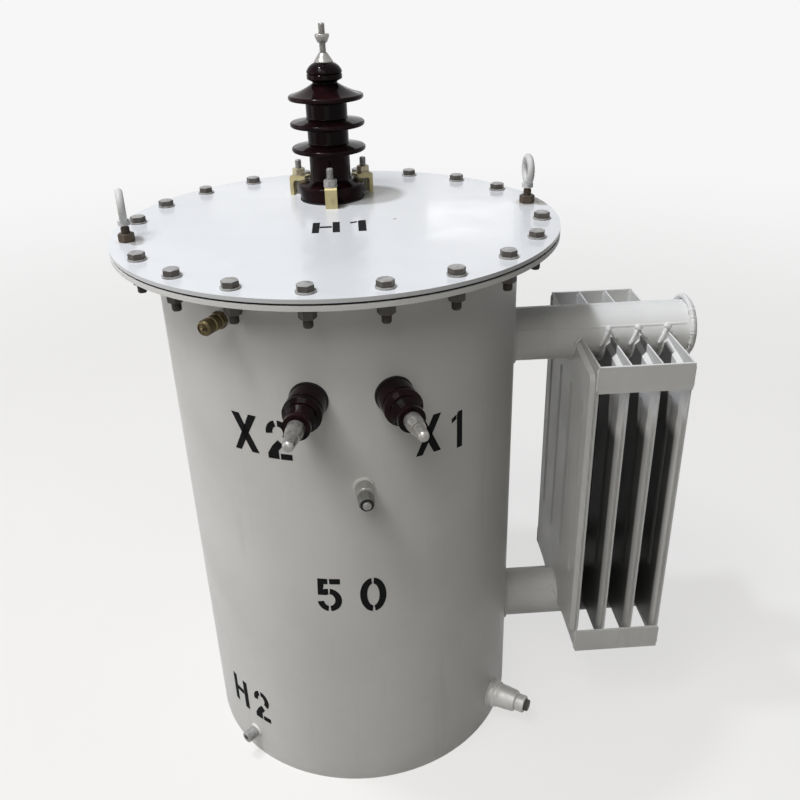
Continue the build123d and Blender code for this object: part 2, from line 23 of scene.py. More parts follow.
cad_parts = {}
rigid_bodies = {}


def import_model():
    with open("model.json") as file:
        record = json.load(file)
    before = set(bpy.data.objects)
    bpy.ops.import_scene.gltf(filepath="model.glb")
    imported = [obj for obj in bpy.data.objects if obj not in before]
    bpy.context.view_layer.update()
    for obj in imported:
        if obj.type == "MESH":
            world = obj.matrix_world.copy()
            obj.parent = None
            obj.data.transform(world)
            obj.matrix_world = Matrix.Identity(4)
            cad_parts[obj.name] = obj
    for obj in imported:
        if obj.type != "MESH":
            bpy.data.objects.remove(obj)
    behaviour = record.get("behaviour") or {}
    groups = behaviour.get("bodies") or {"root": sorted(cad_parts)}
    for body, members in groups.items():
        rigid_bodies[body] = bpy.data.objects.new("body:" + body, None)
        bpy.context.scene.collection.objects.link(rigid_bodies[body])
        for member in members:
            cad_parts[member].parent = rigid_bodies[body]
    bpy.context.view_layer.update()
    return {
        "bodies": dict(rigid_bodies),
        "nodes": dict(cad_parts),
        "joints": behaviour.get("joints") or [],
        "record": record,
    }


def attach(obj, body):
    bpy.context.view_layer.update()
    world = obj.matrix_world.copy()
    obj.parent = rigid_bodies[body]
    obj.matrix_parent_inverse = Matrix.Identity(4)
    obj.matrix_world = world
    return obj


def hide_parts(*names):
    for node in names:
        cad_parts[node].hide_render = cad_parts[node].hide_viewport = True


log = logging.getLogger("transformer")

MM = 0.001
ROOT = "root"
MERGE_MM = 1e-4
THREAD_STEPS = 20
THREAD_DEPTH = 0.6
HEX_FACE = 0.475
HEX_CHAMFER = 30.0
TANK_RADIUS = 250.0
FLANGE_FOOT = 806.0
COVER_TOP = 820.0

Color = tuple[float, float, float]
Triple = tuple[float, float, float]
Outline = Sequence[tuple[float, float]]
Seam = list[tuple[Vector, Vector]]


class Slot(Enum):
    """Material slots of the record. Each new piece names one of them."""

    TANK = "tank_paint"
    COVER = "cover_paint"
    RADIATOR = "radiator_paint"
    GASKET = "gasket_rubber"
    GLAZE = "bushing_glaze"
    ZINC = "zinc_steel"
    TIN = "tinned_metal"
    YELLOW_ZINC = "yellow_zinc"
    DARK_STEEL = "dark_steel"
    EYE = "eye_paint"
    BRASS = "valve_brass"
    VALVE = "valve_steel"


class Extra(Enum):
    """Finishes of single pieces that differ from the rest of their slot."""

    STENCIL = "stencil paint"
    YELLOW_NUT = "pale yellow nut"
    RUSTY_STUD = "rusty stud"
    BOLT_HEAD = "bolt head"
    DULL_NUT = "dull nut"
    BOSS = "bright boss"


class Level(Enum):
    """Which of two like pieces that stand one above the other."""

    LOWER = "lower"
    UPPER = "upper"


class Side(Enum):
    """Which lifting eye, seen from the low-voltage bushings."""

    LEFT = "left"
    RIGHT = "right"


class Shade:
    """Builds one node material around a Principled shader."""

    def __init__(self, name: str) -> None:
        """Makes the material.

        Args:
            name: Name of the new material.
        """
        self.material = bpy.data.materials.new(name)
        self.material.use_nodes = True
        self.tree = self.material.node_tree
        self.tree.nodes.clear()
        self.output = self.tree.nodes.new("ShaderNodeOutputMaterial")
        self.shader = self.tree.nodes.new("ShaderNodeBsdfPrincipled")
        self.link(self.shader.outputs["BSDF"], self.output.inputs["Surface"])
        self.place = self.tree.nodes.new("ShaderNodeTexCoord").outputs["Object"]

    def link(self, source: bpy.types.NodeSocket, target: bpy.types.NodeSocket) -> None:
        """Joins two sockets."""
        self.tree.links.new(source, target)

    def feed(self, socket: bpy.types.NodeSocket, value: object) -> None:
        """Sets a socket to a value, or links it where the value is a socket.

        Args:
            socket: The socket to set.
            value: Number, colour or socket.
        """
        if isinstance(value, bpy.types.NodeSocket):
            self.link(value, socket)
        else:
            socket.default_value = value

    def principled(self, **values: object) -> None:
        """Sets the shader's sockets, with underscores for the spaces of their names."""
        for name, value in values.items():
            self.feed(self.shader.inputs[name.replace("_", " ")], value)

    def mapped(self, scale: Triple, centre: Triple = (0, 0, 0)) -> bpy.types.NodeSocket:
        """Object coordinates, moved so that a point is the centre, then scaled.

        Args:
            scale: Factor along each axis.
            centre: Point that becomes the pattern's origin, in metres.

        Returns:
            The vector socket.
        """
        move = self.tree.nodes.new("ShaderNodeMapping")
        self.link(self.place, move.inputs["Vector"])
        move.inputs["Location"].default_value = [-value for value in centre]
        size = self.tree.nodes.new("ShaderNodeMapping")
        self.link(move.outputs["Vector"], size.inputs["Vector"])
        size.inputs["Scale"].default_value = scale
        return size.outputs["Vector"]

    def noise(self, size: float, detail: float = 4.0, rough: float = 0.55,
              stretch: Triple = (1, 1, 1)) -> bpy.types.NodeSocket:
        """Noise whose blotches are about a size across.

        Args:
            size: Size of the blotches in metres.
            detail: Octaves of finer noise.
            rough: Strength of the finer noise.
            stretch: Factor along each axis, above 1 for finer.

        Returns:
            The factor socket, about 0 to 1.
        """
        node = self.tree.nodes.new("ShaderNodeTexNoise")
        self.link(self.mapped(stretch), node.inputs["Vector"])
        node.inputs["Scale"].default_value = 1 / size
        node.inputs["Detail"].default_value = detail
        node.inputs["Roughness"].default_value = rough
        return node.outputs["Fac"]

    def ramp(self, value: bpy.types.NodeSocket, low: float, high: float,
             start: float = 0.0, end: float = 1.0) -> bpy.types.NodeSocket:
        """Smooth step of a value between two limits.

        Args:
            value: The factor to read.
            low: Value that gives start.
            high: Value that gives end.
            start: Result at low.
            end: Result at high.

        Returns:
            The result socket.
        """
        node = self.tree.nodes.new("ShaderNodeMapRange")
        node.interpolation_type = "SMOOTHSTEP"
        self.link(value, node.inputs["Value"])
        for name, number in (("From Min", low), ("From Max", high), ("To Min", start), ("To Max", end)):
            node.inputs[name].default_value = number
        return node.outputs["Result"]

    def math(self, operation: str, first: object, second: object = 0.0) -> bpy.types.NodeSocket:
        """One arithmetic step.

        Args:
            operation: Blender's name of the operation, such as MULTIPLY.
            first: Number or socket.
            second: Number or socket.

        Returns:
            The result socket.
        """
        node = self.tree.nodes.new("ShaderNodeMath")
        node.operation = operation
        node.use_clamp = operation in ("MULTIPLY", "ADD")
        self.feed(node.inputs[0], first)
        self.feed(node.inputs[1], second)
        return node.outputs["Value"]

    def mix(self, factor: object, first: object, second: object) -> bpy.types.NodeSocket:
        """Mix of two colours.

        Args:
            factor: Share of the second colour.
            first: Colour or socket.
            second: Colour or socket.

        Returns:
            The colour socket.
        """
        node = self.tree.nodes.new("ShaderNodeMix")
        node.data_type = "RGBA"
        self.feed(node.inputs["Factor"], factor)
        for socket, value in ((node.inputs[6], first), (node.inputs[7], second)):
            self.feed(socket, (*value, 1.0) if isinstance(value, tuple) else value)
        return node.outputs[2]

    def along(self, axis: str) -> bpy.types.NodeSocket:
        """Coordinate along one axis.

        Args:
            axis: X, Y or Z.

        Returns:
            The value socket, in metres.
        """
        split = self.tree.nodes.new("ShaderNodeSeparateXYZ")
        self.link(self.place, split.inputs["Vector"])
        return split.outputs[axis]

    def ball(self, centre: Triple, radius: float, stretch: Triple = (1, 1, 1)) -> bpy.types.NodeSocket:
        """Factor that is 1 at a point and falls to 0 at a radius round it.

        Args:
            centre: The point, in metres.
            radius: Reach of the patch, in metres.
            stretch: Factor along each axis, below 1 for a longer patch.

        Returns:
            The factor socket.
        """
        node = self.tree.nodes.new("ShaderNodeTexGradient")
        node.gradient_type = "QUADRATIC_SPHERE"
        scale = tuple(value / radius for value in stretch)
        self.link(self.mapped(scale, centre), node.inputs["Vector"])
        return node.outputs["Fac"]

    def emission(self, color: Color, strength: object) -> bpy.types.NodeSocket:
        """Light that the surface gives off.

        Args:
            color: Colour of the light.
            strength: Number or socket.

        Returns:
            The shader socket.
        """
        node = self.tree.nodes.new("ShaderNodeEmission")
        self.feed(node.inputs["Color"], (*color, 1.0))
        self.feed(node.inputs["Strength"], strength)
        return node.outputs["Emission"]

    def bump(self, height: bpy.types.NodeSocket, depth: float, strength: float = 1.0) -> None:
        """Adds relief to the surface.

        Args:
            height: Factor from 0 to 1.
            depth: Depth of a full factor, in metres.
            strength: Share of the relief that shows.
        """
        node = self.tree.nodes.new("ShaderNodeBump")
        node.inputs["Distance"].default_value = depth
        node.inputs["Strength"].default_value = strength
        self.link(height, node.inputs["Height"])
        earlier = self.shader.inputs["Normal"].links
        if earlier:
            self.link(earlier[0].from_socket, node.inputs["Normal"])
        self.link(node.outputs["Normal"], self.shader.inputs["Normal"])


@dataclass(frozen=True)
class RustSpot:
    """Patch of rust on a painted surface, in metres."""

    x: float
    y: float
    z: float
    radius: float
    strength: float


@dataclass(frozen=True)
class PaintedGapShade:
    """Painted shade in the gaps between the fins, in metres, standing for the shadow that falls there.

    It reaches its top in the middle of the gaps, stays lower near the fins' front and rear edges,
    and leaves the upper header unshaded.
    """

    start: float = 0.345
    end: float = 0.474
    end_fade: float = 0.006
    half: float = 0.137
    half_fade: float = 0.018
    top: float = 0.70
    top_fade: float = 0.03
    edge_start: float = 0.07
    edge_end: float = 0.09
    edge_drop: float = 0.16
    header: Triple = (0.41, 0.0, 0.636)
    header_reach: float = 0.06
    header_fade: tuple[float, float] = (0.045, 0.06)
    strength: float = 0.93
    # Colour of the painted shadow between the fins.
    color: Color = (0.045, 0.044, 0.042)

    def mask(self, shade: Shade) -> bpy.types.NodeSocket:
        """Share of painted shade over the paint.

        Args:
            shade: The material that the painted shade is part of.

        Returns:
            The factor socket.
        """
        # Painted shade: darkens the fins' paint where their shadow falls, up to the level of the shadow's
        # edge.
        mask = shade.ramp(shade.along("X"), self.start, self.start + self.end_fade, 0.0, self.strength)
        mask = shade.math("MULTIPLY", mask,
                          shade.ramp(shade.along("X"), self.end - self.end_fade, self.end, 1.0, 0.0))
        across = shade.math("ABSOLUTE", shade.along("Y"))
        mask = shade.math("MULTIPLY", mask,
                          shade.ramp(across, self.half - self.half_fade, self.half, 1.0, 0.0))
        drop = shade.ramp(across, self.edge_start, self.edge_end, 0.0, self.edge_drop)
        level = shade.math("ADD", shade.along("Z"), drop)
        mask = shade.math("MULTIPLY", mask, shade.ramp(level, self.top - self.top_fade, self.top, 1.0, 0.0))
        header = shade.ball(self.header, self.header_reach, (0.001, 1.0, 1.0))
        return shade.math("MULTIPLY", mask, shade.ramp(header, *self.header_fade, 1.0, 0.0))


@dataclass(frozen=True)
class Enamel:
    """Sprayed enamel on steel: orange peel, mottling, streaks, dirt near the floor, any painted fin shade.
    """

    name: str
    color: Color
    roughness: float = 0.36
    dirt: Color = (0.17, 0.15, 0.12)
    dirt_height: float = 0.10
    dirt_share: float = 0.35
    mottle: float = 0.06
    mottle_size: float = 0.22
    streak_size: float = 0.035
    speck_size: float = 0.004
    wear: float = 1.0
    peel_size: float = 0.0045
    peel_depth: float = 0.00012
    wave_size: float = 0.12
    wave_depth: float = 0.0012
    specular: float = 0.25
    coat: float = 0.0
    coat_roughness: float = 0.25
    # Painted shadow between the radiator's fins, if any.
    gap_shade: PaintedGapShade | None = None
    rust: Color = (0.20, 0.13, 0.07)
    rust_grain: float = 0.006
    rust_spots: tuple[RustSpot, ...] = ()

    def material(self) -> bpy.types.Material:
        """Builds the enamel's node material.

        Returns:
            The material.
        """
        shade = Shade(self.name)
        light = tuple(min(1.0, value * (1 + self.mottle)) for value in self.color)
        dull = tuple(value * (1 - self.mottle) for value in self.color)
        color = shade.mix(shade.ramp(shade.noise(self.mottle_size, 5), 0.35, 0.65), dull, light)
        streak = shade.noise(self.streak_size, 6, 0.6, (1, 1, 0.10))
        color = shade.mix(shade.ramp(streak, 0.56, 0.80, 0.0, 0.22 * self.wear), color, self.dirt)
        speck = shade.noise(self.speck_size, 3, 0.7)
        color = shade.mix(shade.ramp(speck, 0.70, 0.80, 0.0, 0.30 * self.wear), color, self.dirt)
        low = shade.ramp(shade.along("Z"), 0.0, self.dirt_height, self.dirt_share, 0.0)
        patchy = shade.math("MULTIPLY", low, shade.ramp(shade.noise(0.05, 6), 0.30, 0.62))
        color = shade.mix(patchy, color, self.dirt)
        # Painted shade: darkens the paint between the fins where their shadow falls.
        if self.gap_shade:
            color = shade.mix(self.gap_shade.mask(shade), color, self.gap_shade.color)
        rough = shade.ramp(shade.noise(0.06, 5), 0.3, 0.7, self.roughness - 0.05, self.roughness + 0.07)
        for spot in self.rust_spots:
            patch = shade.ball((spot.x, spot.y, spot.z), spot.radius)
            grain = shade.ramp(shade.noise(self.rust_grain, 4, 0.7), 0.30, 0.55, 0.2 * spot.strength,
                               spot.strength)
            color = shade.mix(shade.math("MULTIPLY", patch, grain), color, self.rust)
        shade.principled(Base_Color=color, Roughness=rough, Specular_IOR_Level=self.specular,
                         Coat_Weight=self.coat, Coat_Roughness=self.coat_roughness)
        shade.bump(shade.noise(self.peel_size, 2, 0.4), self.peel_depth, 0.5)
        shade.bump(shade.noise(self.wave_size, 2, 0.4), self.wave_depth, 0.25)
        return shade.material


@dataclass(frozen=True)
class Metal:
    """Bare or plated metal with a stained, slightly uneven surface, and painted shade below a height where
    given.
    """

    name: str
    color: Color
    stain: Color
    stain_share: float = 0.4
    stain_size: float = 0.012
    roughness: float = 0.38
    metallic: float = 0.85
    fine_share: float = 0.12
    grain_size: float = 0.0009
    grain_depth: float = 0.00006
    specular: float = 0.3
    shaded_below: float = 0.0
    # Colour of the painted shade on the sides below that height.
    dark: Color = (0.045, 0.036, 0.028)

    def material(self) -> bpy.types.Material:
        """Builds the metal's node material.

        Returns:
            The material.
        """
        shade = Shade(self.name)
        patch = shade.ramp(shade.noise(self.stain_size, 6, 0.65), 0.42, 0.72, 0.0, self.stain_share)
        color = shade.mix(patch, self.color, self.stain)
        fine = shade.ramp(shade.noise(0.0012, 3, 0.6), 0.3, 0.7, 0.0, self.fine_share)
        color = shade.mix(fine, color, self.stain)
        # Painted shade: darker below a height, so a bolt head's sides look shaded under its lit top.
        if self.shaded_below:
            low = shade.ramp(shade.along("Z"), self.shaded_below - 0.0006, self.shaded_below + 0.0004, 0.85, 0.0)
            color = shade.mix(low, color, self.dark)
        rough = shade.ramp(shade.noise(self.stain_size / 2, 5), 0.3, 0.7, self.roughness - 0.08,
                           self.roughness + 0.14)
        shade.principled(Base_Color=color, Roughness=rough, Metallic=self.metallic,
                         Specular_IOR_Level=self.specular)
        shade.bump(shade.noise(self.grain_size, 3, 0.6), self.grain_depth, 0.6)
        return shade.material


@dataclass(frozen=True)
class Glaze:
    """Glossy glaze over porcelain, darker where it is thick."""

    name: str
    color: Color
    thick: Color
    dust: Color = (0.20, 0.17, 0.15)
    dust_share: float = 0.05
    smooth: float = 0.06
    rough: float = 0.12
    specular: float = 0.055
    run_size: float = 0.010
    run_depth: float = 0.00015

    def material(self) -> bpy.types.Material:
        """Builds the glaze's node material.

        Returns:
            The material.
        """
        shade = Shade(self.name)
        flow = shade.ramp(shade.noise(0.03, 4), 0.35, 0.68)
        color = shade.mix(flow, self.color, self.thick)
        dust = shade.ramp(shade.noise(0.009, 5, 0.7), 0.62, 0.88, 0.0, self.dust_share)
        color = shade.mix(dust, color, self.dust)
        rough = shade.ramp(shade.noise(0.02, 4), 0.3, 0.7, self.smooth, self.rough)
        shade.principled(Base_Color=color, Roughness=rough, IOR=1.5, Specular_IOR_Level=self.specular)
        shade.bump(shade.noise(self.run_size, 2, 0.4), self.run_depth, 0.35)
        return shade.material


@dataclass(frozen=True)
class Matt:
    """Matt rubber or stencil paint with a faintly worn surface."""

    name: str
    color: Color
    worn: Color
    roughness: float = 0.75
    worn_share: float = 0.35
    specular: float = 0.2
    grain_size: float = 0.0015
    grain_depth: float = 0.00005

    def material(self) -> bpy.types.Material:
        """Builds the matt node material.

        Returns:
            The material.
        """
        shade = Shade(self.name)
        wear = shade.ramp(shade.noise(0.008, 6, 0.7), 0.48, 0.78, 0.0, self.worn_share)
        shade.principled(Base_Color=shade.mix(wear, self.color, self.worn), Roughness=self.roughness,
                         Specular_IOR_Level=self.specular)
        shade.bump(shade.noise(self.grain_size, 3, 0.6), self.grain_depth, 0.5)
        return shade.material


@dataclass
class PhotoCamera:
    """Camera at the photograph's viewpoint, solved from the tank's rims, bolts and radiator."""

    place: Triple = (0.0206, -1.1703, 1.1453)
    yaw: float = 2.892
    pitch: float = 27.517
    roll: float = -1.744
    lens: float = 38.53
    sensor: float = 36.0

    def build(self) -> None:
        """Makes the camera the scene's own."""
        yaw, pitch, roll = radians(self.yaw), radians(self.pitch), radians(self.roll)
        forward = Vector((sin(yaw) * cos(pitch), cos(yaw) * cos(pitch), -sin(pitch)))
        level = Vector((cos(yaw), -sin(yaw), 0.0))
        upright = level.cross(forward)
        right = level * cos(roll) + upright * sin(roll)
        up = upright * cos(roll) - level * sin(roll)
        data = bpy.data.cameras.new("photo_camera")
        data.lens = self.lens
        data.sensor_width = self.sensor
        data.clip_end = 100.0
        camera = bpy.data.objects.new("photo_camera", data)
        turn = Matrix((right, up, -forward)).transposed().to_4x4()
        camera.matrix_world = Matrix.Translation(self.place) @ turn
        bpy.context.scene.collection.objects.link(camera)
        bpy.context.scene.camera = camera


@dataclass(frozen=True)
class Lamp:
    """Area lamp that points at the middle of the object, round unless it is given a height."""

    name: str
    azimuth: float
    elevation: float
    size: float
    level: float
    color: Color = (1.0, 1.0, 1.0)
    tall: float = 0.0
    distance: float = 3.8
    aim: Vector = Vector((0.0, 0.0, 0.5))

    def build(self) -> None:
        """Makes the lamp, with the power that gives its level to a white surface that faces it."""
        data = bpy.data.lights.new(self.name, "AREA")
        data.shape = "RECTANGLE" if self.tall else "DISK"
        data.size = self.size
        data.size_y = self.tall or self.size
        data.energy = self.level * pi ** 2 * self.distance ** 2
        data.color = self.color
        lamp = bpy.data.objects.new(self.name, data)
        rise = radians(self.elevation)
        away = out_of_tank(self.azimuth) * cos(rise) + Vector((0.0, 0.0, sin(rise)))
        turn = away.to_track_quat("Z", "Y").to_matrix().to_4x4()
        lamp.matrix_world = Matrix.Translation(self.aim + away * self.distance) @ turn
        lamp.visible_camera = False
        bpy.context.scene.collection.objects.link(lamp)


@dataclass
class Studio:
    """Pale floor, soft lamps and a pale world."""

    ambient: float = 0.03
    sky_color: Color = (0.93, 0.96, 1.0)
    pale: Color = (0.93, 0.93, 0.93)
    floor_color: Color = (0.22, 0.215, 0.205)
    floor_glow: float = 0.66
    glow_color: Color = (1.0, 0.995, 0.99)
    floor_radius: float = 45.0
    floor_fade: float = 5.5
    lamps: tuple[Lamp, ...] = (
        Lamp("key_lamp", azimuth=182.0, elevation=72.5, size=0.32, level=0.54, color=(0.94, 0.97, 1.05)),
        Lamp("sky_lamp", azimuth=222.0, elevation=62.0, size=1.1, level=0.33, color=(1.0, 1.0, 0.99)),
        Lamp("front_lamp", azimuth=250.0, elevation=50.0, size=2.2, level=0.28, color=(1.0, 0.985, 0.94)),
        Lamp("left_lamp", azimuth=183.0, elevation=14.0, size=2.6, level=0.22, color=(1.0, 0.99, 0.97)),
        Lamp("low_lamp", azimuth=270.0, elevation=8.0, size=2.4, level=0.08, color=(1.0, 0.96, 0.90)),
        Lamp("right_window", azimuth=79.0, elevation=20.4, size=0.48, tall=0.22, level=0.0042),
        Lamp("left_window", azimuth=98.5, elevation=18.0, size=0.44, tall=0.15, level=0.0009),
    )

    def build(self) -> None:
        """Builds the floor, the lamps and the world."""
        bpy.context.scene.view_settings.view_transform = "Standard"
        self.build_floor()
        for lamp in self.lamps:
            lamp.build()
        self.build_world()

    def build_floor(self) -> None:
        """Builds a pale floor that fades to the background's white far from the object."""
        bm = bmesh.new()
        bmesh.ops.create_circle(bm, cap_ends=True, segments=96, radius=self.floor_radius)
        mesh = bpy.data.meshes.new("floor")
        bm.to_mesh(mesh)
        bm.free()
        floor = bpy.data.objects.new("floor", mesh)
        bpy.context.scene.collection.objects.link(floor)
        shade = Shade("pale_floor")
        cloud = shade.ramp(shade.noise(0.35, 6), 0.3, 0.7)
        warm = tuple(value * 0.96 for value in self.floor_color)
        shade.principled(Base_Color=shade.mix(cloud, warm, self.floor_color), Roughness=0.75,
                         Specular_IOR_Level=0.15)
        near = shade.ball((0, 0, 0), self.floor_fade)
        sees = self.seen_rays(shade.tree)
        glow = shade.emission(self.glow_color, shade.math("MULTIPLY", sees, self.floor_glow))
        add = shade.tree.nodes.new("ShaderNodeAddShader")
        shade.link(shade.shader.outputs["BSDF"], add.inputs[0])
        shade.link(glow, add.inputs[1])
        blend = shade.tree.nodes.new("ShaderNodeMixShader")
        shade.link(shade.ramp(near, 0.0, 0.55), blend.inputs["Fac"])
        shade.link(shade.emission(self.pale, sees), blend.inputs[1])
        shade.link(add.outputs["Shader"], blend.inputs[2])
        shade.link(blend.outputs["Shader"], shade.output.inputs["Surface"])
        floor.data.materials.append(shade.material)

    def seen_rays(self, tree: bpy.types.NodeTree) -> bpy.types.NodeSocket:
        """Factor that is 1 for camera, glossy and transmission rays.

        Args:
            tree: Node tree that it is part of.

        Returns:
            The factor socket.
        """
        path = tree.nodes.new("ShaderNodeLightPath")
        total = path.outputs["Is Camera Ray"]
        for name in ("Is Glossy Ray", "Is Transmission Ray"):
            node = tree.nodes.new("ShaderNodeMath")
            node.operation = "MAXIMUM"
            tree.links.new(total, node.inputs[0])
            tree.links.new(path.outputs[name], node.inputs[1])
            total = node.outputs["Value"]
        return total

    def build_world(self) -> None:
        """Builds a world that looks pale and lights the object softly."""
        world = bpy.data.worlds.new("studio_world")
        bpy.context.scene.world = world
        world.use_nodes = True
        tree = world.node_tree
        tree.nodes.clear()
        output = tree.nodes.new("ShaderNodeOutputWorld")
        mix = tree.nodes.new("ShaderNodeMixShader")
        tree.links.new(self.seen_rays(tree), mix.inputs["Fac"])
        for place, color, strength in ((1, self.sky_color, self.ambient), (2, self.pale, 1.0)):
            backdrop = tree.nodes.new("ShaderNodeBackground")
            backdrop.inputs["Color"].default_value = (*color, 1.0)
            backdrop.inputs["Strength"].default_value = strength
            tree.links.new(backdrop.outputs["Background"], mix.inputs[place])
        tree.links.new(mix.outputs["Shader"], output.inputs["Surface"])


@dataclass
class Finishes:
    """Every finish of the object, each built once."""

    made: dict[Slot | Extra, bpy.types.Material] = field(default_factory=dict)
    odd_nodes: dict[str, Extra] = field(default_factory=lambda: {"earth_boss": Extra.BOSS})
    cover_rust: tuple[RustSpot, ...] = (
        RustSpot(0.2758, 0.0536, 0.820, radius=0.028, strength=2.0),
        RustSpot(0.292, 0.0520, 0.820, radius=0.022, strength=1.6),
        RustSpot(0.303, 0.0500, 0.814, radius=0.014, strength=1.2),
        RustSpot(-0.2758, -0.0536, 0.820, radius=0.022, strength=1.0),
        RustSpot(-0.254, -0.020, 0.820, radius=0.024, strength=0.14),
        RustSpot(0.080, -0.004, 0.820, radius=0.005, strength=1.5),
    )

    def build(self) -> None:
        """Builds the material of each slot and of each single piece with its own."""
        recipes = {
            Slot.TANK: Enamel("tank_enamel", (0.70, 0.695, 0.68), 0.40, dirt_height=0.05, dirt_share=0.12,
                              mottle=0.04, wear=0.5),
            Slot.COVER: Enamel("cover_enamel", (0.63, 0.64, 0.655), 0.20, dirt_share=0.0, mottle=0.02,
                               wear=0.15, peel_depth=0.00005, specular=0.15, coat=0.16,
                               coat_roughness=0.04, rust_spots=self.cover_rust),
            # The radiator's paint carries painted shade in the gaps between the fins.
            Slot.RADIATOR: Enamel("radiator_enamel", (0.70, 0.70, 0.69), 0.40, dirt_height=0.2, wear=0.8,
                                  specular=0.15, gap_shade=PaintedGapShade()),
            Slot.GASKET: Matt("gasket_rubber", (0.018, 0.018, 0.019), (0.06, 0.06, 0.06)),
            Slot.GLAZE: Glaze("bushing_glaze", (0.014, 0.004, 0.005), (0.005, 0.0025, 0.003)),
            Slot.ZINC: Metal("zinc_plate", (0.36, 0.36, 0.355), (0.10, 0.075, 0.055), stain_share=0.6,
                             stain_size=0.008, roughness=0.34, metallic=0.3),
            Slot.TIN: Metal("tinned_terminal", (0.33, 0.32, 0.305), (0.22, 0.20, 0.18), stain_share=0.3,
                            stain_size=0.009, roughness=0.30, metallic=0.7, fine_share=0.03,
                            grain_depth=0.00002),
            Slot.YELLOW_ZINC: Metal("yellow_zinc", (0.47, 0.41, 0.22), (0.25, 0.21, 0.13), stain_share=0.5,
                                    stain_size=0.02, roughness=0.42, metallic=0.6),
            Slot.DARK_STEEL: Metal("dark_steel", (0.070, 0.067, 0.063), (0.12, 0.095, 0.07),
                                   stain_share=0.35, roughness=0.55, metallic=0.3),
            Slot.EYE: Enamel("eye_enamel", (0.50, 0.50, 0.49), 0.45, dirt_share=0.0, wear=1.6),
            Slot.BRASS: Metal("valve_brass", (0.15, 0.115, 0.055), (0.045, 0.037, 0.022), stain_share=0.7,
                              stain_size=0.010, metallic=0.7),
            Slot.VALVE: Metal("valve_steel", (0.70, 0.70, 0.69), (0.44, 0.42, 0.39), stain_share=0.35,
                              stain_size=0.015, roughness=0.45, metallic=0.3),
            Extra.STENCIL: Matt("stencil_paint", (0.009, 0.009, 0.010), (0.05, 0.05, 0.05), roughness=0.9,
                                worn_share=0.2, specular=0.1),
            Extra.YELLOW_NUT: Metal("pale_yellow_zinc", (0.44, 0.39, 0.27), (0.20, 0.17, 0.12),
                                    stain_share=0.5, stain_size=0.01, roughness=0.40, metallic=0.6),
            Extra.RUSTY_STUD: Metal("rusty_stud", (0.070, 0.058, 0.046), (0.12, 0.080, 0.050),
                                    stain_share=0.5, stain_size=0.006, roughness=0.6, metallic=0.2),
            # Bolt heads: painted shade on their sides below their tops.
            Extra.BOLT_HEAD: Metal("bolt_head_zinc_shaded_sides", (0.34, 0.34, 0.335), (0.12, 0.10, 0.08),
                                   stain_share=0.5, stain_size=0.008, roughness=0.36, metallic=0.3,
                                   shaded_below=0.8292),
            Extra.DULL_NUT: Metal("dull_nut_zinc", (0.20, 0.20, 0.19), (0.09, 0.085, 0.075),
                                  stain_share=0.5, stain_size=0.006, roughness=0.40, metallic=0.3),
            Extra.BOSS: Metal("boss_steel", (0.42, 0.42, 0.40), (0.24, 0.23, 0.20), stain_share=0.5,
                              stain_size=0.007, roughness=0.36, metallic=0.5),
        }
        for key, recipe in recipes.items():
            self.made[key] = recipe.material()

    def dress_frame(self, frame: dict) -> None:
        """Gives each CAD node the material of its slot.
        """
        slots = {part["node"]: Slot(part["material_slot"]) for part in frame["record"]["subparts"]}
        for name, node in frame["nodes"].items():
            for place in node.material_slots:
                place.material = self.made[self.odd_nodes.get(name, slots[name])]
            log.info("%s wears %s", name, slots[name].value)


def out_of_tank(angle: float) -> Vector:
    """Unit vector that leaves the tank at an angle round it."""
    return Vector((cos(radians(angle)), sin(radians(angle)), 0.0))


@dataclass(frozen=True)
class WallPlace:
    """Place of a fitting on the tank's wall, by its angle in degrees and its height in millimetres."""

    angle: float
    height: float

    def at(self, reach: float = 0.0, turn: float = 0.0) -> Matrix:
        """Place on the fitting's axis.

        Args:
            reach: Distance out from the wall.
            turn: Turn about the axis in degrees.

        Returns:
            A matrix whose Z axis leaves the tank and whose X axis points up.
        """
        out, up = out_of_tank(self.angle), Vector((0.0, 0.0, 1.0))
        facing = Matrix((up, out.cross(up), out)).transposed().to_4x4()
        foot = Matrix.Translation(out * (TANK_RADIUS + reach) + up * self.height)
        return foot @ facing @ Matrix.Rotation(radians(turn), 4, "Z")

    def ring(self, radius: float, steps: int) -> Seam:
        """Seam between the wall and a round fitting that leaves it squarely.

        Args:
            radius: Radius of the fitting.
            steps: Points round the seam.

        Returns:
            Points in millimetres with the directions that the weld bulges in.
        """
        out, up = out_of_tank(self.angle), Vector((0.0, 0.0, 1.0))
        side = up.cross(out)
        path = []
        for step in range(steps):
            turn = 2 * pi * step / steps
            radial = side * cos(turn) + up * sin(turn)
            depth = sqrt(TANK_RADIUS ** 2 - (radius * cos(turn)) ** 2)
            path.append((out * depth + radial * radius + up * self.height, (out + radial).normalized()))
        return path


EARTH_STUD = WallPlace(274.0, 543.0)
LOW_BOSS = WallPlace(225.0, 42.5)
RELIEF_VALVE = WallPlace(239.5, 775.0)
DRAIN_VALVE = WallPlace(327.7, 44.5)


def upright(x: float, y: float, z: float, turn: float = 0.0) -> Matrix:
    """Place of an upright piece, in millimetres.

    Args:
        x: Place along X.
        y: Place along Y.
        z: Height of its foot.
        turn: Turn about its own axis in degrees.

    Returns:
        The matrix.
    """
    return Matrix.Translation((x, y, z)) @ Matrix.Rotation(radians(turn), 4, "Z")


@dataclass(frozen=True)
class Bead:
    """Size and unevenness of a weld bead, in millimetres, buried as deep as it stands proud."""

    width: float
    height: float
    ripple: float = 3.2
    ripple_share: float = 0.08
    wander: float = 0.16
    slow_wander: float = 0.11
    quick_wander: float = 0.45
    thin_end: float = 0.45
    sides: int = 8


@dataclass(frozen=True)
class Lump:
    """Lump of weld metal on a header, at an offset along it and an angle round it."""

    offset: float
    angle: float
    lift: float
    size: float
    squash: float


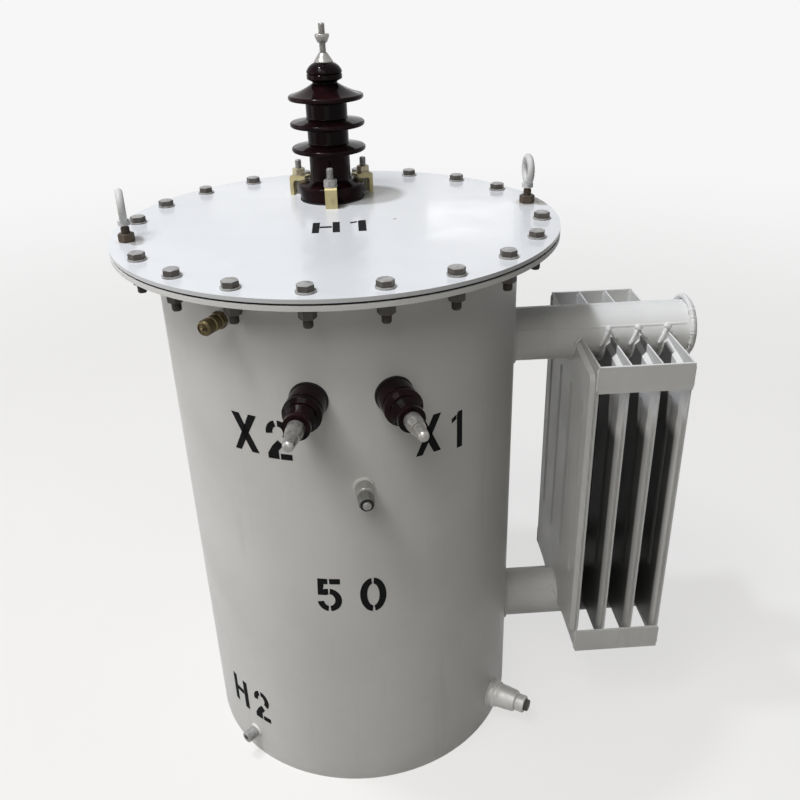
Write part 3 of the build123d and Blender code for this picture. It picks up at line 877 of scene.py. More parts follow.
class Form:
    """Shape in millimetres, put together from closed solids that bmesh operators make."""

    def __init__(self) -> None:
        """Starts an empty shape."""
        self.shape = bmesh.new()

    def take(self, part: bmesh.types.BMesh, place: Matrix = Matrix()) -> None:
        """Adds a solid at its place, once its doubles are merged and its faces point outwards.

        Args:
            part: The solid, which is used up.
            place: Where it goes.
        """
        bmesh.ops.remove_doubles(part, verts=part.verts, dist=MERGE_MM)
        bmesh.ops.recalc_face_normals(part, faces=part.faces)
        bmesh.ops.transform(part, matrix=place, verts=part.verts)
        solid = bpy.data.meshes.new("solid")
        part.to_mesh(solid)
        part.free()
        self.shape.from_mesh(solid)
        bpy.data.meshes.remove(solid)

    @staticmethod
    def grow(part: bmesh.types.BMesh, ring: list) -> tuple[list, list]:
        """Extrudes a closed ring of edges in place.

        Args:
            part: The mesh that holds the ring.
            ring: Edges of the ring.

        Returns:
            The new ring's vertices and its edges.
        """
        made = bmesh.ops.extrude_edge_only(part, edges=ring)["geom"]
        points = [item for item in made if isinstance(item, bmesh.types.BMVert)]
        edges = [item for item in made if isinstance(item, bmesh.types.BMEdge) and item.is_boundary]
        return points, edges

    @staticmethod
    def close(part: bmesh.types.BMesh) -> None:
        """Fills each open rim."""
        bmesh.ops.holes_fill(part, edges=[edge for edge in part.edges if edge.is_boundary])

    @staticmethod
    def soften(part: bmesh.types.BMesh, size: float, limit: float = 40.0) -> None:
        """Bevels the sharp edges.

        Args:
            part: The mesh to bevel.
            size: Width of the bevel.
            limit: Angle between two faces, in degrees, above which their edge is sharp.
        """
        sharp = [edge for edge in part.edges
                 if len(edge.link_faces) == 2 and edge.calc_face_angle() > radians(limit)]
        bmesh.ops.bevel(part, geom=sharp, offset=size, offset_type="OFFSET", affect="EDGES", segments=2,
                        profile=0.5, material=-1, clamp_overlap=True)

    def turned(self, outline: Outline, place: Matrix, steps: int = 40, bevel: float = 0.0) -> None:
        """Spins an outline of (radius, height) points about Z.

        Args:
            outline: Points from one end of the axis to the other.
            place: Where the solid goes.
            steps: Steps of the full turn.
            bevel: Size of the bevel on sharp edges.
        """
        part = bmesh.new()
        points = [part.verts.new((radius, 0.0, height)) for radius, height in outline]
        edges = [part.edges.new(pair) for pair in zip(points, points[1:])]
        bmesh.ops.spin(part, geom=points + edges, cent=(0, 0, 0), axis=(0, 0, 1), angle=2 * pi, steps=steps,
                       use_merge=True)
        bmesh.ops.remove_doubles(part, verts=part.verts, dist=MERGE_MM)
        if bevel:
            bmesh.ops.recalc_face_normals(part, faces=part.faces)
            self.soften(part, bevel)
        self.take(part, place)

    def washer(self, outer: float, inner: float, thickness: float, place: Matrix) -> None:
        """Adds a flat washer with slightly rounded edges."""
        self.turned([(inner, 0), (outer, 0), (outer, thickness), (inner, thickness), (inner, 0)], place,
                    bevel=min(0.4, thickness / 4))

    def hexagon(self, flats: float, height: float, place: Matrix, both: bool = False) -> None:
        """Adds a hexagon head or nut with its corners turned off at 30 degrees.

        Args:
            flats: Width across flats.
            height: Height of the head or nut.
            place: Where its foot goes.
            both: Whether its foot is chamfered as well.
        """
        part = bmesh.new()
        bmesh.ops.create_circle(part, cap_ends=False, segments=6, radius=flats / sqrt(3))
        bmesh.ops.subdivide_edges(part, edges=part.edges[:], cuts=7)
        face_radius, slope = flats * HEX_FACE, tan(radians(HEX_CHAMFER))
        side = part.edges[:]
        if both:
            for point in part.verts:
                point.co.z = (point.co.xy.length - face_radius) * slope
            points, _ = self.grow(part, side)
            for point in points:
                point.co.xy = point.co.xy.normalized() * face_radius
                point.co.z = 0.0
            side = [edge for edge in part.edges if edge.is_boundary
                    and all(vert.co.z > 0 for vert in edge.verts)]
        points, crown = self.grow(part, side)
        for point in points:
            point.co.z = height - (point.co.xy.length - face_radius) * slope
        points, _ = self.grow(part, crown)
        for point in points:
            point.co.xy = point.co.xy.normalized() * face_radius
            point.co.z = height
        self.close(part)
        self.take(part, place)

    def threaded(self, radius: float, pitch: float, length: float, place: Matrix) -> None:
        """Adds a threaded rod: a core with a bevelled end and a helical ridge round it.

        Args:
            radius: Outer radius of the thread.
            pitch: Pitch of the thread.
            length: Length of the rod.
            place: Where its foot goes.
        """
        core = radius - THREAD_DEPTH * pitch
        self.turned([(0, 0), (core, 0), (core, length - pitch / 3), (core - pitch / 3, length), (0, length)],
                    place, steps=24)
        self.ridge(radius, core - 0.1 * pitch, pitch, length, place)

    def ridge(self, crest: float, root: float, pitch: float, length: float, place: Matrix) -> None:
        """Adds the helical ridge of a thread.

        Args:
            crest: Radius of the ridge's crest.
            root: Radius of its buried foot, above the crest's for a thread in a hole.
            pitch: Pitch of the thread.
            length: Length along the axis.
            place: Where its foot goes.
        """
        part = bmesh.new()
        section = ((root, 0.0), (crest, 0.4), (crest, 0.5), (root, 0.9))
        points = [part.verts.new((radius, 0.0, along * pitch)) for radius, along in section]
        edges = [part.edges.new(pair) for pair in zip(points, points[1:] + points[:1])]
        steps = int((length / pitch - 1.0) * THREAD_STEPS)
        bmesh.ops.spin(part, geom=points + edges, cent=(0, 0, 0), axis=(0, 0, 1), steps=steps,
                       angle=2 * pi * steps / THREAD_STEPS, dvec=(0, 0, pitch / THREAD_STEPS),
                       use_merge=False)
        bmesh.ops.remove_doubles(part, verts=part.verts, dist=MERGE_MM)
        self.close(part)
        self.take(part, place)

    def bead(self, path: Seam, bead: Bead, closed: bool = False) -> None:
        """Adds a weld bead with the ripples of its passes.

        Args:
            path: Points along the seam, each with the direction that the bead bulges in.
            bead: Its size and unevenness.
            closed: Whether the bead runs round to its start.
        """
        part = bmesh.new()
        count, frames, run_length = len(path), [], 0.0
        for index, (point, bulge) in enumerate(path):
            before = path[(index - 1) % count if closed else max(index - 1, 0)][0]
            after = path[(index + 1) % count if closed else min(index + 1, count - 1)][0]
            run = (after - before).normalized()
            side = run.cross(bulge).normalized()
            run_length += (point - path[max(index - 1, 0)][0]).length
            swell = 1.0 + bead.ripple_share * (1 - 2 * (run_length / bead.ripple % 1.0))
            swell += bead.wander * noise.noise(point * bead.slow_wander)
            swell += bead.wander * noise.noise(point * bead.quick_wander) / 2
            if not closed:
                swell *= min(1.0, bead.thin_end + (1 - bead.thin_end) * min(index, count - 1 - index) / 2)
            facing = Matrix((side, side.cross(run), run)).transposed().to_4x4()
            spread = Matrix.Diagonal((bead.width / 2 * swell, bead.height * swell, 1.0, 1.0))
            frames.append(Matrix.Translation(point) @ facing @ spread)
        bmesh.ops.create_circle(part, cap_ends=False, segments=bead.sides, radius=1.0)
        bmesh.ops.transform(part, matrix=frames[0], verts=part.verts)
        ring = part.edges[:]
        for earlier, later in zip(frames, frames[1:] + (frames[:1] if closed else [])):
            points, ring = self.grow(part, ring)
            bmesh.ops.transform(part, matrix=later @ earlier.inverted(), verts=points)
            ring = [edge for edge in ring if all(vert in points for vert in edge.verts)]
        if not closed:
            self.close(part)
        self.take(part)

    def lump(self, centre: Vector, out: Vector, size: float, squash: float) -> None:
        """Adds an uneven lump of weld metal.

        Args:
            centre: Middle of the lump.
            out: Direction that it bulges in.
            size: Radius of the lump.
            squash: Its height as a share of its radius.
        """
        part = bmesh.new()
        bmesh.ops.create_icosphere(part, subdivisions=3, radius=size)
        for point in part.verts:
            point.co *= 1.0 + 0.22 * noise.noise(point.co * (1.6 / size) + centre * 0.37)
        facing = out.to_track_quat("Z", "Y").to_matrix().to_4x4()
        self.take(part, Matrix.Translation(centre) @ facing @ Matrix.Diagonal((1.0, 1.0, squash, 1.0)))


@dataclass
class Workshop:
    """Turns finished forms into dressed pieces that ride on the transformer."""

    finishes: Finishes

    def deliver(self, form: Form, name: str, slot: Slot, finish: Extra | None = None,
                stands_for: tuple[str, ...] = (), sharp: float = 38.0) -> None:
        """Makes a piece of a form.

        Args:
            form: The finished form, in millimetres.
            name: Name of the piece.
            slot: The record's slot that its finish belongs to.
            finish: Its own finish, or None for the slot's.
            stands_for: CAD nodes that it takes the place of.
            sharp: Angle above which an edge is shaded as sharp, in degrees.
        """
        bmesh.ops.scale(form.shape, vec=(MM, MM, MM), verts=form.shape.verts)
        for face in form.shape.faces:
            face.smooth = True
        for edge in form.shape.edges:
            edge.smooth = len(edge.link_faces) == 2 and edge.calc_face_angle(0.0) < radians(sharp)
        mesh = bpy.data.meshes.new(name)
        form.shape.to_mesh(mesh)
        form.shape.free()
        mesh.materials.append(self.finishes.made[finish or slot])
        piece = bpy.data.objects.new(name, mesh)
        bpy.context.scene.collection.objects.link(piece)
        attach(piece, ROOT)
        if stands_for:
            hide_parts(*stands_for)
        log.info("%s: %d triangles", name, sum(len(face.vertices) - 2 for face in mesh.polygons))


@dataclass
class CoverHardware:
    """Bolts, washers and nuts round the cover, and the lifting eyes' threaded studs."""

    shop: Workshop
    circle: float = 281.0
    count: int = 20
    first_angle: float = 11.0
    eyes: dict[int, Side] = field(default_factory=lambda: {0: Side.RIGHT, 10: Side.LEFT})
    thread: float = 6.0
    pitch: float = 1.75
    flats: float = 18.6
    head_height: float = 7.5
    washer_radius: float = 12.0
    washer_thickness: float = 2.2
    spring_radius: float = 9.8
    spring_thickness: float = 3.2
    spring_gap: float = 0.3
    nut_height: float = 11.5
    thread_end: float = 778.0
    eye_flats: float = 19.0
    eye_nut: float = 11.0
    eye_collar: float = 840.0
    seed: int = 7

    def build(self) -> None:
        """Builds every bolt position, each with its own turn."""
        draw = random.Random(self.seed)
        heads, washers, nuts, ends = Form(), Form(), Form(), Form()
        for number in range(self.count):
            spot = out_of_tank(self.first_angle + number * 360 / self.count) * self.circle
            turn = draw.uniform(0, 60)
            if number in self.eyes:
                self.build_eye_stud(self.eyes[number], spot, turn)
            else:
                seat = COVER_TOP
                washers.washer(self.washer_radius, self.thread, self.washer_thickness,
                               upright(spot.x, spot.y, seat, turn))
                seat += self.washer_thickness
                heads.hexagon(self.flats, self.head_height, upright(spot.x, spot.y, seat, turn))
                ends.threaded(self.thread, self.pitch, COVER_TOP - self.thread_end,
                              upright(spot.x, spot.y, self.thread_end, turn))
            self.add_nut(nuts, spot, draw.uniform(0, 60))
        self.shop.deliver(washers, "cover_bolt_washers", Slot.ZINC)
        self.shop.deliver(heads, "cover_bolt_heads", Slot.ZINC, Extra.BOLT_HEAD)
        self.shop.deliver(nuts, "cover_bolt_nuts", Slot.DARK_STEEL)
        self.shop.deliver(ends, "cover_bolt_ends", Slot.DARK_STEEL)

    def add_nut(self, nuts: Form, spot: Vector, turn: float) -> None:
        """Adds the washer, spring washer and nut under the flange.

        Args:
            nuts: The form that holds every nut.
            spot: Place of the bolt's axis.
            turn: Turn of the nut in degrees.
        """
        foot = FLANGE_FOOT - self.washer_thickness
        nuts.washer(self.washer_radius, self.thread, self.washer_thickness, upright(spot.x, spot.y, foot))
        foot -= self.spring_thickness
        nuts.washer(self.spring_radius, self.thread, self.spring_thickness - self.spring_gap,
                    upright(spot.x, spot.y, foot))
        foot -= self.nut_height
        nuts.hexagon(self.flats, self.nut_height, upright(spot.x, spot.y, foot, turn), both=True)

    def build_eye_stud(self, side: Side, spot: Vector, turn: float) -> None:
        """Builds the threaded stud and nut of one lifting eye.

        Args:
            side: Which eye.
            spot: Place of its axis.
            turn: Turn of the nut in degrees.
        """
        stud = Form()
        stud.threaded(self.thread, self.pitch, self.eye_collar - self.thread_end,
                      upright(spot.x, spot.y, self.thread_end))
        stud.hexagon(self.eye_flats, self.eye_nut, upright(spot.x, spot.y, COVER_TOP, turn), both=True)
        self.shop.deliver(stud, f"eye_stud_{side.value}_threaded", Slot.DARK_STEEL, Extra.RUSTY_STUD,
                          stands_for=(f"eye_stud_{side.value}",))


@dataclass
class BushingHardware:
    """Studs and nuts of the high-voltage bushing's clamps, and its terminal above the seat."""

    shop: Workshop
    x: float = -7.5
    y: float = 130.0
    clamp_angles: tuple[float, ...] = (270.0, 30.0, 150.0)
    stud_reach: float = 56.5
    stud_radius: float = 5.0
    pitch: float = 1.5
    clamp_top: float = 850.0
    stud_tops: tuple[float, ...] = (876.0, 873.0, 873.0)
    flats: float = 16.6
    nut_height: float = 8.4
    nut_turn: float = 12.0
    washer_radius: float = 10.0
    washer_thickness: float = 2.0
    stud_bead: Bead = Bead(3.0, 1.8)
    stud_bead_points: int = 30
    seat: float = 822.0
    thread_foot: float = 200.0
    thread_top: float = 241.5
    cone: Outline = ((0, 186), (13.5, 190.5), (13.5, 192.0), (12.9, 192.6), (6.4, 202.4), (6.0, 203.0),
                     (0, 203.0))
    flared_nut: Outline = ((0, 216), (6.5, 216), (7.0, 216.6), (10.0, 223.2), (10.2, 224), (10.2, 227.0),
                           (9.7, 227.5), (0, 227.5))

    def build(self) -> None:
        """Builds the clamps' studs, nuts, washers and welds, and the terminal."""
        for number, (angle, top) in enumerate(zip(self.clamp_angles, self.stud_tops), 1):
            spot = out_of_tank(angle) * self.stud_reach + Vector((self.x, self.y, 0))
            studs, nuts, weld = Form(), Form(), Form()
            studs.threaded(self.stud_radius, self.pitch, top - COVER_TOP, upright(spot.x, spot.y, COVER_TOP))
            nuts.washer(self.washer_radius, self.stud_radius, self.washer_thickness,
                        upright(spot.x, spot.y, self.clamp_top))
            seat = self.clamp_top + self.washer_thickness
            nuts.hexagon(self.flats, self.nut_height,
                         upright(spot.x, spot.y, seat, angle + self.nut_turn), both=True)
            ring = ring_on_cover(spot, self.stud_radius, self.stud_bead_points)
            weld.bead(ring, self.stud_bead, closed=True)
            finish = Extra.YELLOW_NUT if number > 1 else None
            self.shop.deliver(studs, f"clamp_stud_{number}", Slot.ZINC)
            self.shop.deliver(nuts, f"clamp_nut_{number}", Slot.ZINC, finish)
            self.shop.deliver(weld, f"clamp_stud_weld_{number}", Slot.COVER)
        self.build_terminal()

    def build_terminal(self) -> None:
        """Builds the terminal's cone, its flared nut and its threaded stud."""
        terminal = Form()
        axis = upright(self.x, self.y, self.seat)
        terminal.turned(self.cone, axis, steps=64, bevel=0.25)
        terminal.threaded(self.stud_radius, self.pitch, self.thread_top - self.thread_foot,
                          upright(self.x, self.y, self.seat + self.thread_foot))
        terminal.turned(self.flared_nut, axis, steps=64, bevel=0.2)
        self.shop.deliver(terminal, "hv_terminal_threaded", Slot.TIN, stands_for=("hv_terminal",))


@dataclass
class EarthStud:
    """Earthing stud on its boss, with two washers, a lock nut and the nut's dark collar.

    Seats and outlines are reaches out from the tank's wall.
    """

    shop: Workshop
    place: WallPlace = EARTH_STUD
    radius: float = 6.0
    pitch: float = 1.75
    thread_foot: float = 20.0
    thread_length: float = 24.0
    tip: Outline = ((0, 44.5), (5.4, 44.5), (5.4, 45.4), (4.8, 46.0), (0, 46.0))
    washer_radius: float = 11.4
    washer_thickness: float = 2.4
    washer_seat: float = 22.0
    nut_washer_radius: float = 9.6
    nut_washer_thickness: float = 2.6
    play: float = 0.2
    nut_flats: float = 18.0
    nut_height: float = 14.5
    nut_turn: float = 14.0
    collar: Outline = ((6.1, 41.5), (8.7, 41.5), (8.7, 43.0), (8.2, 43.6), (6.1, 43.6), (6.1, 41.5))

    def build(self) -> None:
        """Builds the stud with its washer, the nut with its own, and the collar."""
        stud, nut, collar = Form(), Form(), Form()
        seat = self.washer_seat
        stud.washer(self.washer_radius, self.radius, self.washer_thickness, self.place.at(seat))
        stud.threaded(self.radius, self.pitch, self.thread_length, self.place.at(self.thread_foot))
        stud.turned(self.tip, self.place.at(), steps=32)
        self.shop.deliver(stud, "earth_stud_threaded", Slot.ZINC, stands_for=("earth_stud",))
        seat += self.washer_thickness + self.play
        nut.washer(self.nut_washer_radius, self.radius, self.nut_washer_thickness, self.place.at(seat))
        seat += self.nut_washer_thickness + self.play
        nut.hexagon(self.nut_flats, self.nut_height, self.place.at(seat, self.nut_turn), both=True)
        self.shop.deliver(nut, "earth_nut", Slot.ZINC, Extra.DULL_NUT)
        collar.turned(self.collar, self.place.at(), steps=48)
        self.shop.deliver(collar, "earth_nut_collar", Slot.GASKET)


@dataclass
class WallFittings:
    """Thread in the boss near the floor, relief valve and drain valve.

    Feet, seats and outlines are reaches out from the tank's wall.
    """

    shop: Workshop
    low: WallPlace = LOW_BOSS
    low_crest: float = 4.35
    low_root: float = 5.2
    low_pitch: float = 1.5
    low_length: float = 14.0
    low_foot: float = 6.8
    relief: WallPlace = RELIEF_VALVE
    relief_flats: float = 19.0
    relief_nut: float = 9.0
    relief_seat: float = 20.0
    relief_rings: Outline = (
        (0, 20.5), (8.9, 20.5), (8.9, 30.0), (9.5, 30.8), (9.5, 38.6), (8.0, 39.6), (8.0, 42.4), (9.5, 43.4),
        (9.5, 51.4), (8.2, 53.6), (7.0, 54.0), (6.6, 52.6), (4.9, 52.6), (4.6, 53.8), (3.2, 53.8),
        (2.4, 53.8), (2.2, 56.2), (1.4, 57.0), (0, 57.0),
    )
    drain: WallPlace = DRAIN_VALVE
    drain_casting: Outline = (
        (0, 9.5), (20.6, 9.5), (20.6, 13.4), (19.9, 14.4), (18.9, 15.0), (18.8, 16.4), (19.3, 17.4),
        (17.6, 41.0), (16.9, 43.6), (14.6, 45.6), (12.9, 46.0), (12.9, 47.6), (13.9, 48.2), (14.0, 58.6),
        (12.6, 60.0), (10.4, 60.0), (10.2, 58.0), (0, 58.0),
    )
    plug_flats: float = 17.6
    plug_height: float = 8.0
    plug_seat: float = 58.0
    plug_turn: float = 20.0

    def build(self) -> None:
        """Builds the fittings in order."""
        self.build_low_thread()
        self.build_relief()
        self.build_drain()

    def build_low_thread(self) -> None:
        """Builds the thread inside the boss near the floor."""
        thread = Form()
        thread.ridge(self.low_crest, self.low_root, self.low_pitch, self.low_length,
                     self.low.at(self.low_foot))
        self.shop.deliver(thread, "low_earth_thread", Slot.DARK_STEEL)

    def build_relief(self) -> None:
        """Builds the pressure relief valve with the rings on its face and its pull pin."""
        valve = Form()
        valve.hexagon(self.relief_flats, self.relief_nut, self.relief.at(self.relief_seat), both=True)
        valve.turned(self.relief_rings, self.relief.at(), steps=56)
        self.shop.deliver(valve, "relief_valve_turned", Slot.BRASS, stands_for=("relief_valve",), sharp=30)

    def build_drain(self) -> None:
        """Builds the drain valve's cast body, and the dark plug in its end."""
        body, plug = Form(), Form()
        body.turned(self.drain_casting, self.drain.at(), steps=64)
        plug.hexagon(self.plug_flats, self.plug_height, self.drain.at(self.plug_seat, self.plug_turn))
        self.shop.deliver(body, "drain_valve_cast", Slot.VALVE, stands_for=("drain_valve",), sharp=30)
        self.shop.deliver(plug, "drain_plug_turned", Slot.DARK_STEEL, stands_for=("drain_plug",))


def ring_on_cover(spot: Vector, radius: float, steps: int) -> Seam:
    """Seam between the cover and an upright round piece.

    Args:
        spot: Place of the piece's axis.
        radius: Radius of the piece.
        steps: Points round the seam.

    Returns:
        Points in millimetres with the directions that the weld bulges in.
    """
    turns = (2 * pi * step / steps for step in range(steps))
    return [(spot + Vector((cos(turn), sin(turn), 0)) * radius + Vector((0, 0, COVER_TOP)),
             Vector((cos(turn), sin(turn), 1))) for turn in turns]


@dataclass(frozen=True)
class FittingWeld:
    """Weld round a fitting that leaves the tank's wall squarely, in millimetres."""

    name: str
    place: WallPlace
    radius: float
    size: float


@dataclass
class TankWelds:
    """Weld beads of the tank, its flange, its fittings and its hanger brackets."""

    shop: Workshop
    rim_bead: Bead = Bead(6.0, 3.4, ripple=6.0, wander=0.22)
    rim_points: int = 900
    seam_bead: Bead = Bead(8.0, 1.4, ripple=4.0, wander=0.12)
    seam_angle: float = 118.0
    seam_depth: float = 0.4
    seam_step: float = 2.0
    seam_points: int = 402
    fittings: tuple[FittingWeld, ...] = (
        FittingWeld("earth_boss_weld", EARTH_STUD, radius=11.5, size=2.6),
        FittingWeld("low_boss_weld", LOW_BOSS, radius=9.0, size=2.6),
        FittingWeld("relief_boss_weld", RELIEF_VALVE, radius=12.5, size=2.2),
        FittingWeld("drain_boss_weld", DRAIN_VALVE, radius=22.5, size=2.4),
    )
    points_per_mm: float = 4.0
    hanger_bead: Bead = Bead(7.0, 4.0)
    hanger_heights: dict[Level, float] = field(
        default_factory=lambda: {Level.LOWER: 330.0, Level.UPPER: 616.0})
    hanger_half_width: float = 45.0
    hanger_half_height: float = 44.0
    hanger_step: float = 1.6
    hanger_points: int = 56
    hanger_lean: float = 0.6

    def build(self) -> None:
        """Builds the beads in order."""
        self.build_rim()
        self.build_seam()
        for fitting in self.fittings:
            weld = Form()
            ring = fitting.place.ring(fitting.radius, int(fitting.radius * self.points_per_mm))
            weld.bead(ring, Bead(fitting.size * 2, fitting.size), closed=True)
            self.shop.deliver(weld, fitting.name, Slot.TANK)
        for level, height in self.hanger_heights.items():
            self.build_hanger(level, height)

    def build_rim(self) -> None:
        """Builds the bead in the corner under the flange."""
        weld = Form()
        outs = [out_of_tank(360 * step / self.rim_points) for step in range(self.rim_points)]
        corner = [(out * TANK_RADIUS + Vector((0, 0, FLANGE_FOOT)), out - Vector((0, 0, 1))) for out in outs]
        weld.bead(corner, self.rim_bead, closed=True)
        self.shop.deliver(weld, "flange_weld", Slot.TANK)

    def build_seam(self) -> None:
        """Builds the upright seam at the back of the tank's shell."""
        weld = Form()
        out = out_of_tank(self.seam_angle)
        foot = out * (TANK_RADIUS - self.seam_depth)
        weld.bead([(foot + Vector((0, 0, self.seam_step * number)), out)
                   for number in range(1, self.seam_points + 1)], self.seam_bead)
        self.shop.deliver(weld, "tank_seam_weld", Slot.TANK)

    def build_hanger(self, level: Level, height: float) -> None:
        """Builds the two upright beads of one hanger bracket.

        Args:
            level: Which bracket.
            height: Height of its middle.
        """
        weld = Form()
        foot = height - self.hanger_half_height
        for side in (1, -1):
            x = side * self.hanger_half_width
            y = sqrt(TANK_RADIUS ** 2 - x ** 2)
            bulge = Vector((side, self.hanger_lean, 0))
            weld.bead([(Vector((x, y, foot + self.hanger_step * step)), bulge)
                       for step in range(self.hanger_points)], self.hanger_bead)
        self.shop.deliver(weld, f"{level.value}_hanger_weld", Slot.TANK)


@dataclass
class RadiatorWelds:
    """Weld beads of the headers, their caps, the fins and the flat strips.

    A route on a header is a list of offsets along it with angles round it, in degrees.
    """

    shop: Workshop
    header_radius: float = 40.0
    header_heights: dict[Level, float] = field(
        default_factory=lambda: {Level.LOWER: 144.0, Level.UPPER: 636.0})
    saddle_bead: Bead = Bead(8.0, 4.2, ripple=4.0)
    saddle_points: int = 190
    cap_bead: Bead = Bead(8.5, 4.0, ripple=5.5, wander=0.45)
    cap_seam: float = 509.1
    cap_lift: float = 4.2
    cap_points: int = 200
    pipe_bead: Bead = Bead(3.6, 1.3, ripple=4.0, wander=0.25)
    pipe_seams: dict[Level, tuple[float, float]] = field(
        default_factory=lambda: {Level.LOWER: (98.0, 39.5), Level.UPPER: (28.5, 87.5)})
    pipe_start: float = 252.0
    pipe_end: float = 505.0
    pipe_step: float = 2.0
    pipe_lift: float = -0.5
    first_fin: float = 344.5
    fin_pitch: float = 43.4
    fin_count: int = 4
    fin_half: float = 143.0
    body_half: float = 7.0
    root_bead: Bead = Bead(4.4, 2.4, sides=6)
    root_spans: dict[Level, tuple[float, float]] = field(
        default_factory=lambda: {Level.LOWER: (8.0, 172.0), Level.UPPER: (-8.0, -172.0)})
    root_points: int = 64
    root_lift: float = 0.6
    root_lean: float = 0.8
    hook_bead: Bead = Bead(5.4, 3.2)
    hook: Outline = ((-13.7, -14), (-11.4, -7), (-9.0, 1), (-6.0, 11), (-3.6, 19), (-2.0, 24), (1.5, 20),
                     (5.5, 11), (10.0, 1))
    first_hook: Outline = ((-8.0, -6), (-5.5, 1.5), (-2.0, 6), (2.0, 5), (5.0, 0))
    hook_lumps: tuple[Lump, ...] = (Lump(offset=-2.0, angle=24.0, lift=0.4, size=5.4, squash=0.7),
                                    Lump(offset=-7.5, angle=-21.0, lift=0.2, size=2.6, squash=0.8))
    rear_bead: Bead = Bead(4.4, 2.4)
    rear_hook: Outline = ((-9.0, 168), (-4.0, 176), (0.0, 179), (4.0, 176), (9.0, 168))
    low_bead: Bead = Bead(4.2, 2.4)
    low_hook: Outline = ((-7.0, 20), (-4.0, 8), (-2.0, -6), (1.0, -10), (5.0, -4), (8.0, 10))
    stray_bead: Bead = Bead(4.6, 2.2)
    stray_start: float = 330.0
    stray_run: Outline = ((0.0, 41), (4.0, 32), (8.0, 21), (11.0, 10))
    stray_lump: Lump = Lump(offset=0.0, angle=41.0, lift=0.0, size=5.5, squash=0.6)
    trace_step: float = 1.1
    trace_lift: float = 0.3
    strip_bead: Bead = Bead(4.0, 2.2, sides=6)
    strip_heights: tuple[float, ...] = (156.5, 623.5)
    strip_half: float = 20.0
    seam_half: float = 1.6
    strip_step: float = 1.4
    strip_points: int = 26
    strip_scatter: tuple[float, float] = (0.5, 3.0)
    seed: int = 5

    @property
    def fins(self) -> list[float]:
        """Places of the fins along the headers."""
        return [self.first_fin + self.fin_pitch * number for number in range(self.fin_count)]

    def on_header(self, x: float, angle: float, height: float, lift: float) -> tuple[Vector, Vector]:
        """Point on a header's surface with its outward direction.

        Args:
            x: Place along the header.
            angle: Angle above the front horizontal, in degrees.
            height: Height of the header's axis.
            lift: Distance above the surface.

        Returns:
            The point in millimetres and the direction.
        """
        out = Vector((0.0, -cos(radians(angle)), sin(radians(angle))))
        return Vector((x, 0.0, height)) + out * (self.header_radius + lift), out

    def build(self) -> None:
        """Builds the beads of both headers, the fins and the strips."""
        for level, height in self.header_heights.items():
            self.build_header(level, height)
            self.build_fin_roots(level, height)
        self.build_hooks()
        self.build_strips()

    def build_header(self, level: Level, height: float) -> None:
        """Builds the saddle, the cap's thick bead and the pipe's seams of one header.

        Args:
            level: Which header.
            height: Height of its axis.
        """
        weld = Form()
        saddle = WallPlace(0.0, height).ring(self.header_radius, self.saddle_points)
        weld.bead(saddle, self.saddle_bead, closed=True)
        cap = [self.on_header(self.cap_seam, 360 * step / self.cap_points, height, self.cap_lift)
               for step in range(self.cap_points)]
        weld.bead(cap, self.cap_bead, closed=True)
        for angle in self.pipe_seams[level]:
            seam = []
            for step in range(int((self.pipe_end - self.pipe_start) / self.pipe_step)):
                sway = 0.5 * noise.noise(Vector((step * 0.07, angle, 0)))
                seam.append(self.on_header(self.pipe_start + self.pipe_step * step, angle + sway, height,
                                           self.pipe_lift))
            weld.bead(seam, self.pipe_bead)
        self.shop.deliver(weld, f"{level.value}_header_welds", Slot.RADIATOR)

    def build_fin_roots(self, level: Level, height: float) -> None:
        """Builds the beads where each fin's pressed body sits against a header.

        Args:
            level: Which header.
            height: Height of its axis.
        """
        weld = Form()
        first, last = self.root_spans[level]
        shares = [step / (self.root_points - 1) for step in range(self.root_points)]
        for fin, side in product(self.fins, (-1, 1)):
            x, lean = fin + side * self.body_half, Vector((side * self.root_lean, 0, 0))
            path = [self.on_header(x, first + (last - first) * share, height, self.root_lift)
                    for share in shares]
            weld.bead([(point, out + lean) for point, out in path], self.root_bead)
        self.shop.deliver(weld, f"{level.value}_fin_root_welds", Slot.RADIATOR)

    def build_hooks(self) -> None:
        """Builds the hooked beads where each fin's seam meets the headers, and one stray run."""
        weld = Form()
        upper, lower = self.header_heights[Level.UPPER], self.header_heights[Level.LOWER]
        for number, fin in enumerate(self.fins):
            self.trace(weld, fin, self.hook if number else self.first_hook, upper, self.hook_bead)
            if number:
                for lump in self.hook_lumps:
                    self.add_lump(weld, fin, lump, upper)
        for fin in self.fins:
            self.trace(weld, fin, self.rear_hook, upper, self.rear_bead)
        for fin in self.fins:
            self.trace(weld, fin, self.low_hook, lower, self.low_bead)
        self.add_lump(weld, self.stray_start, self.stray_lump, lower)
        self.trace(weld, self.stray_start, self.stray_run, lower, self.stray_bead)
        self.shop.deliver(weld, "fin_hook_welds", Slot.RADIATOR)

    def add_lump(self, weld: Form, x: float, lump: Lump, height: float) -> None:
        """Adds a lump of weld metal on a header.

        Args:
            weld: The form that it joins.
            x: Place along the header that its offset starts from.
            lump: The lump.
            height: Height of the header's axis.
        """
        point, out = self.on_header(x + lump.offset, lump.angle, height, lump.lift)
        weld.lump(point, out, lump.size, lump.squash)

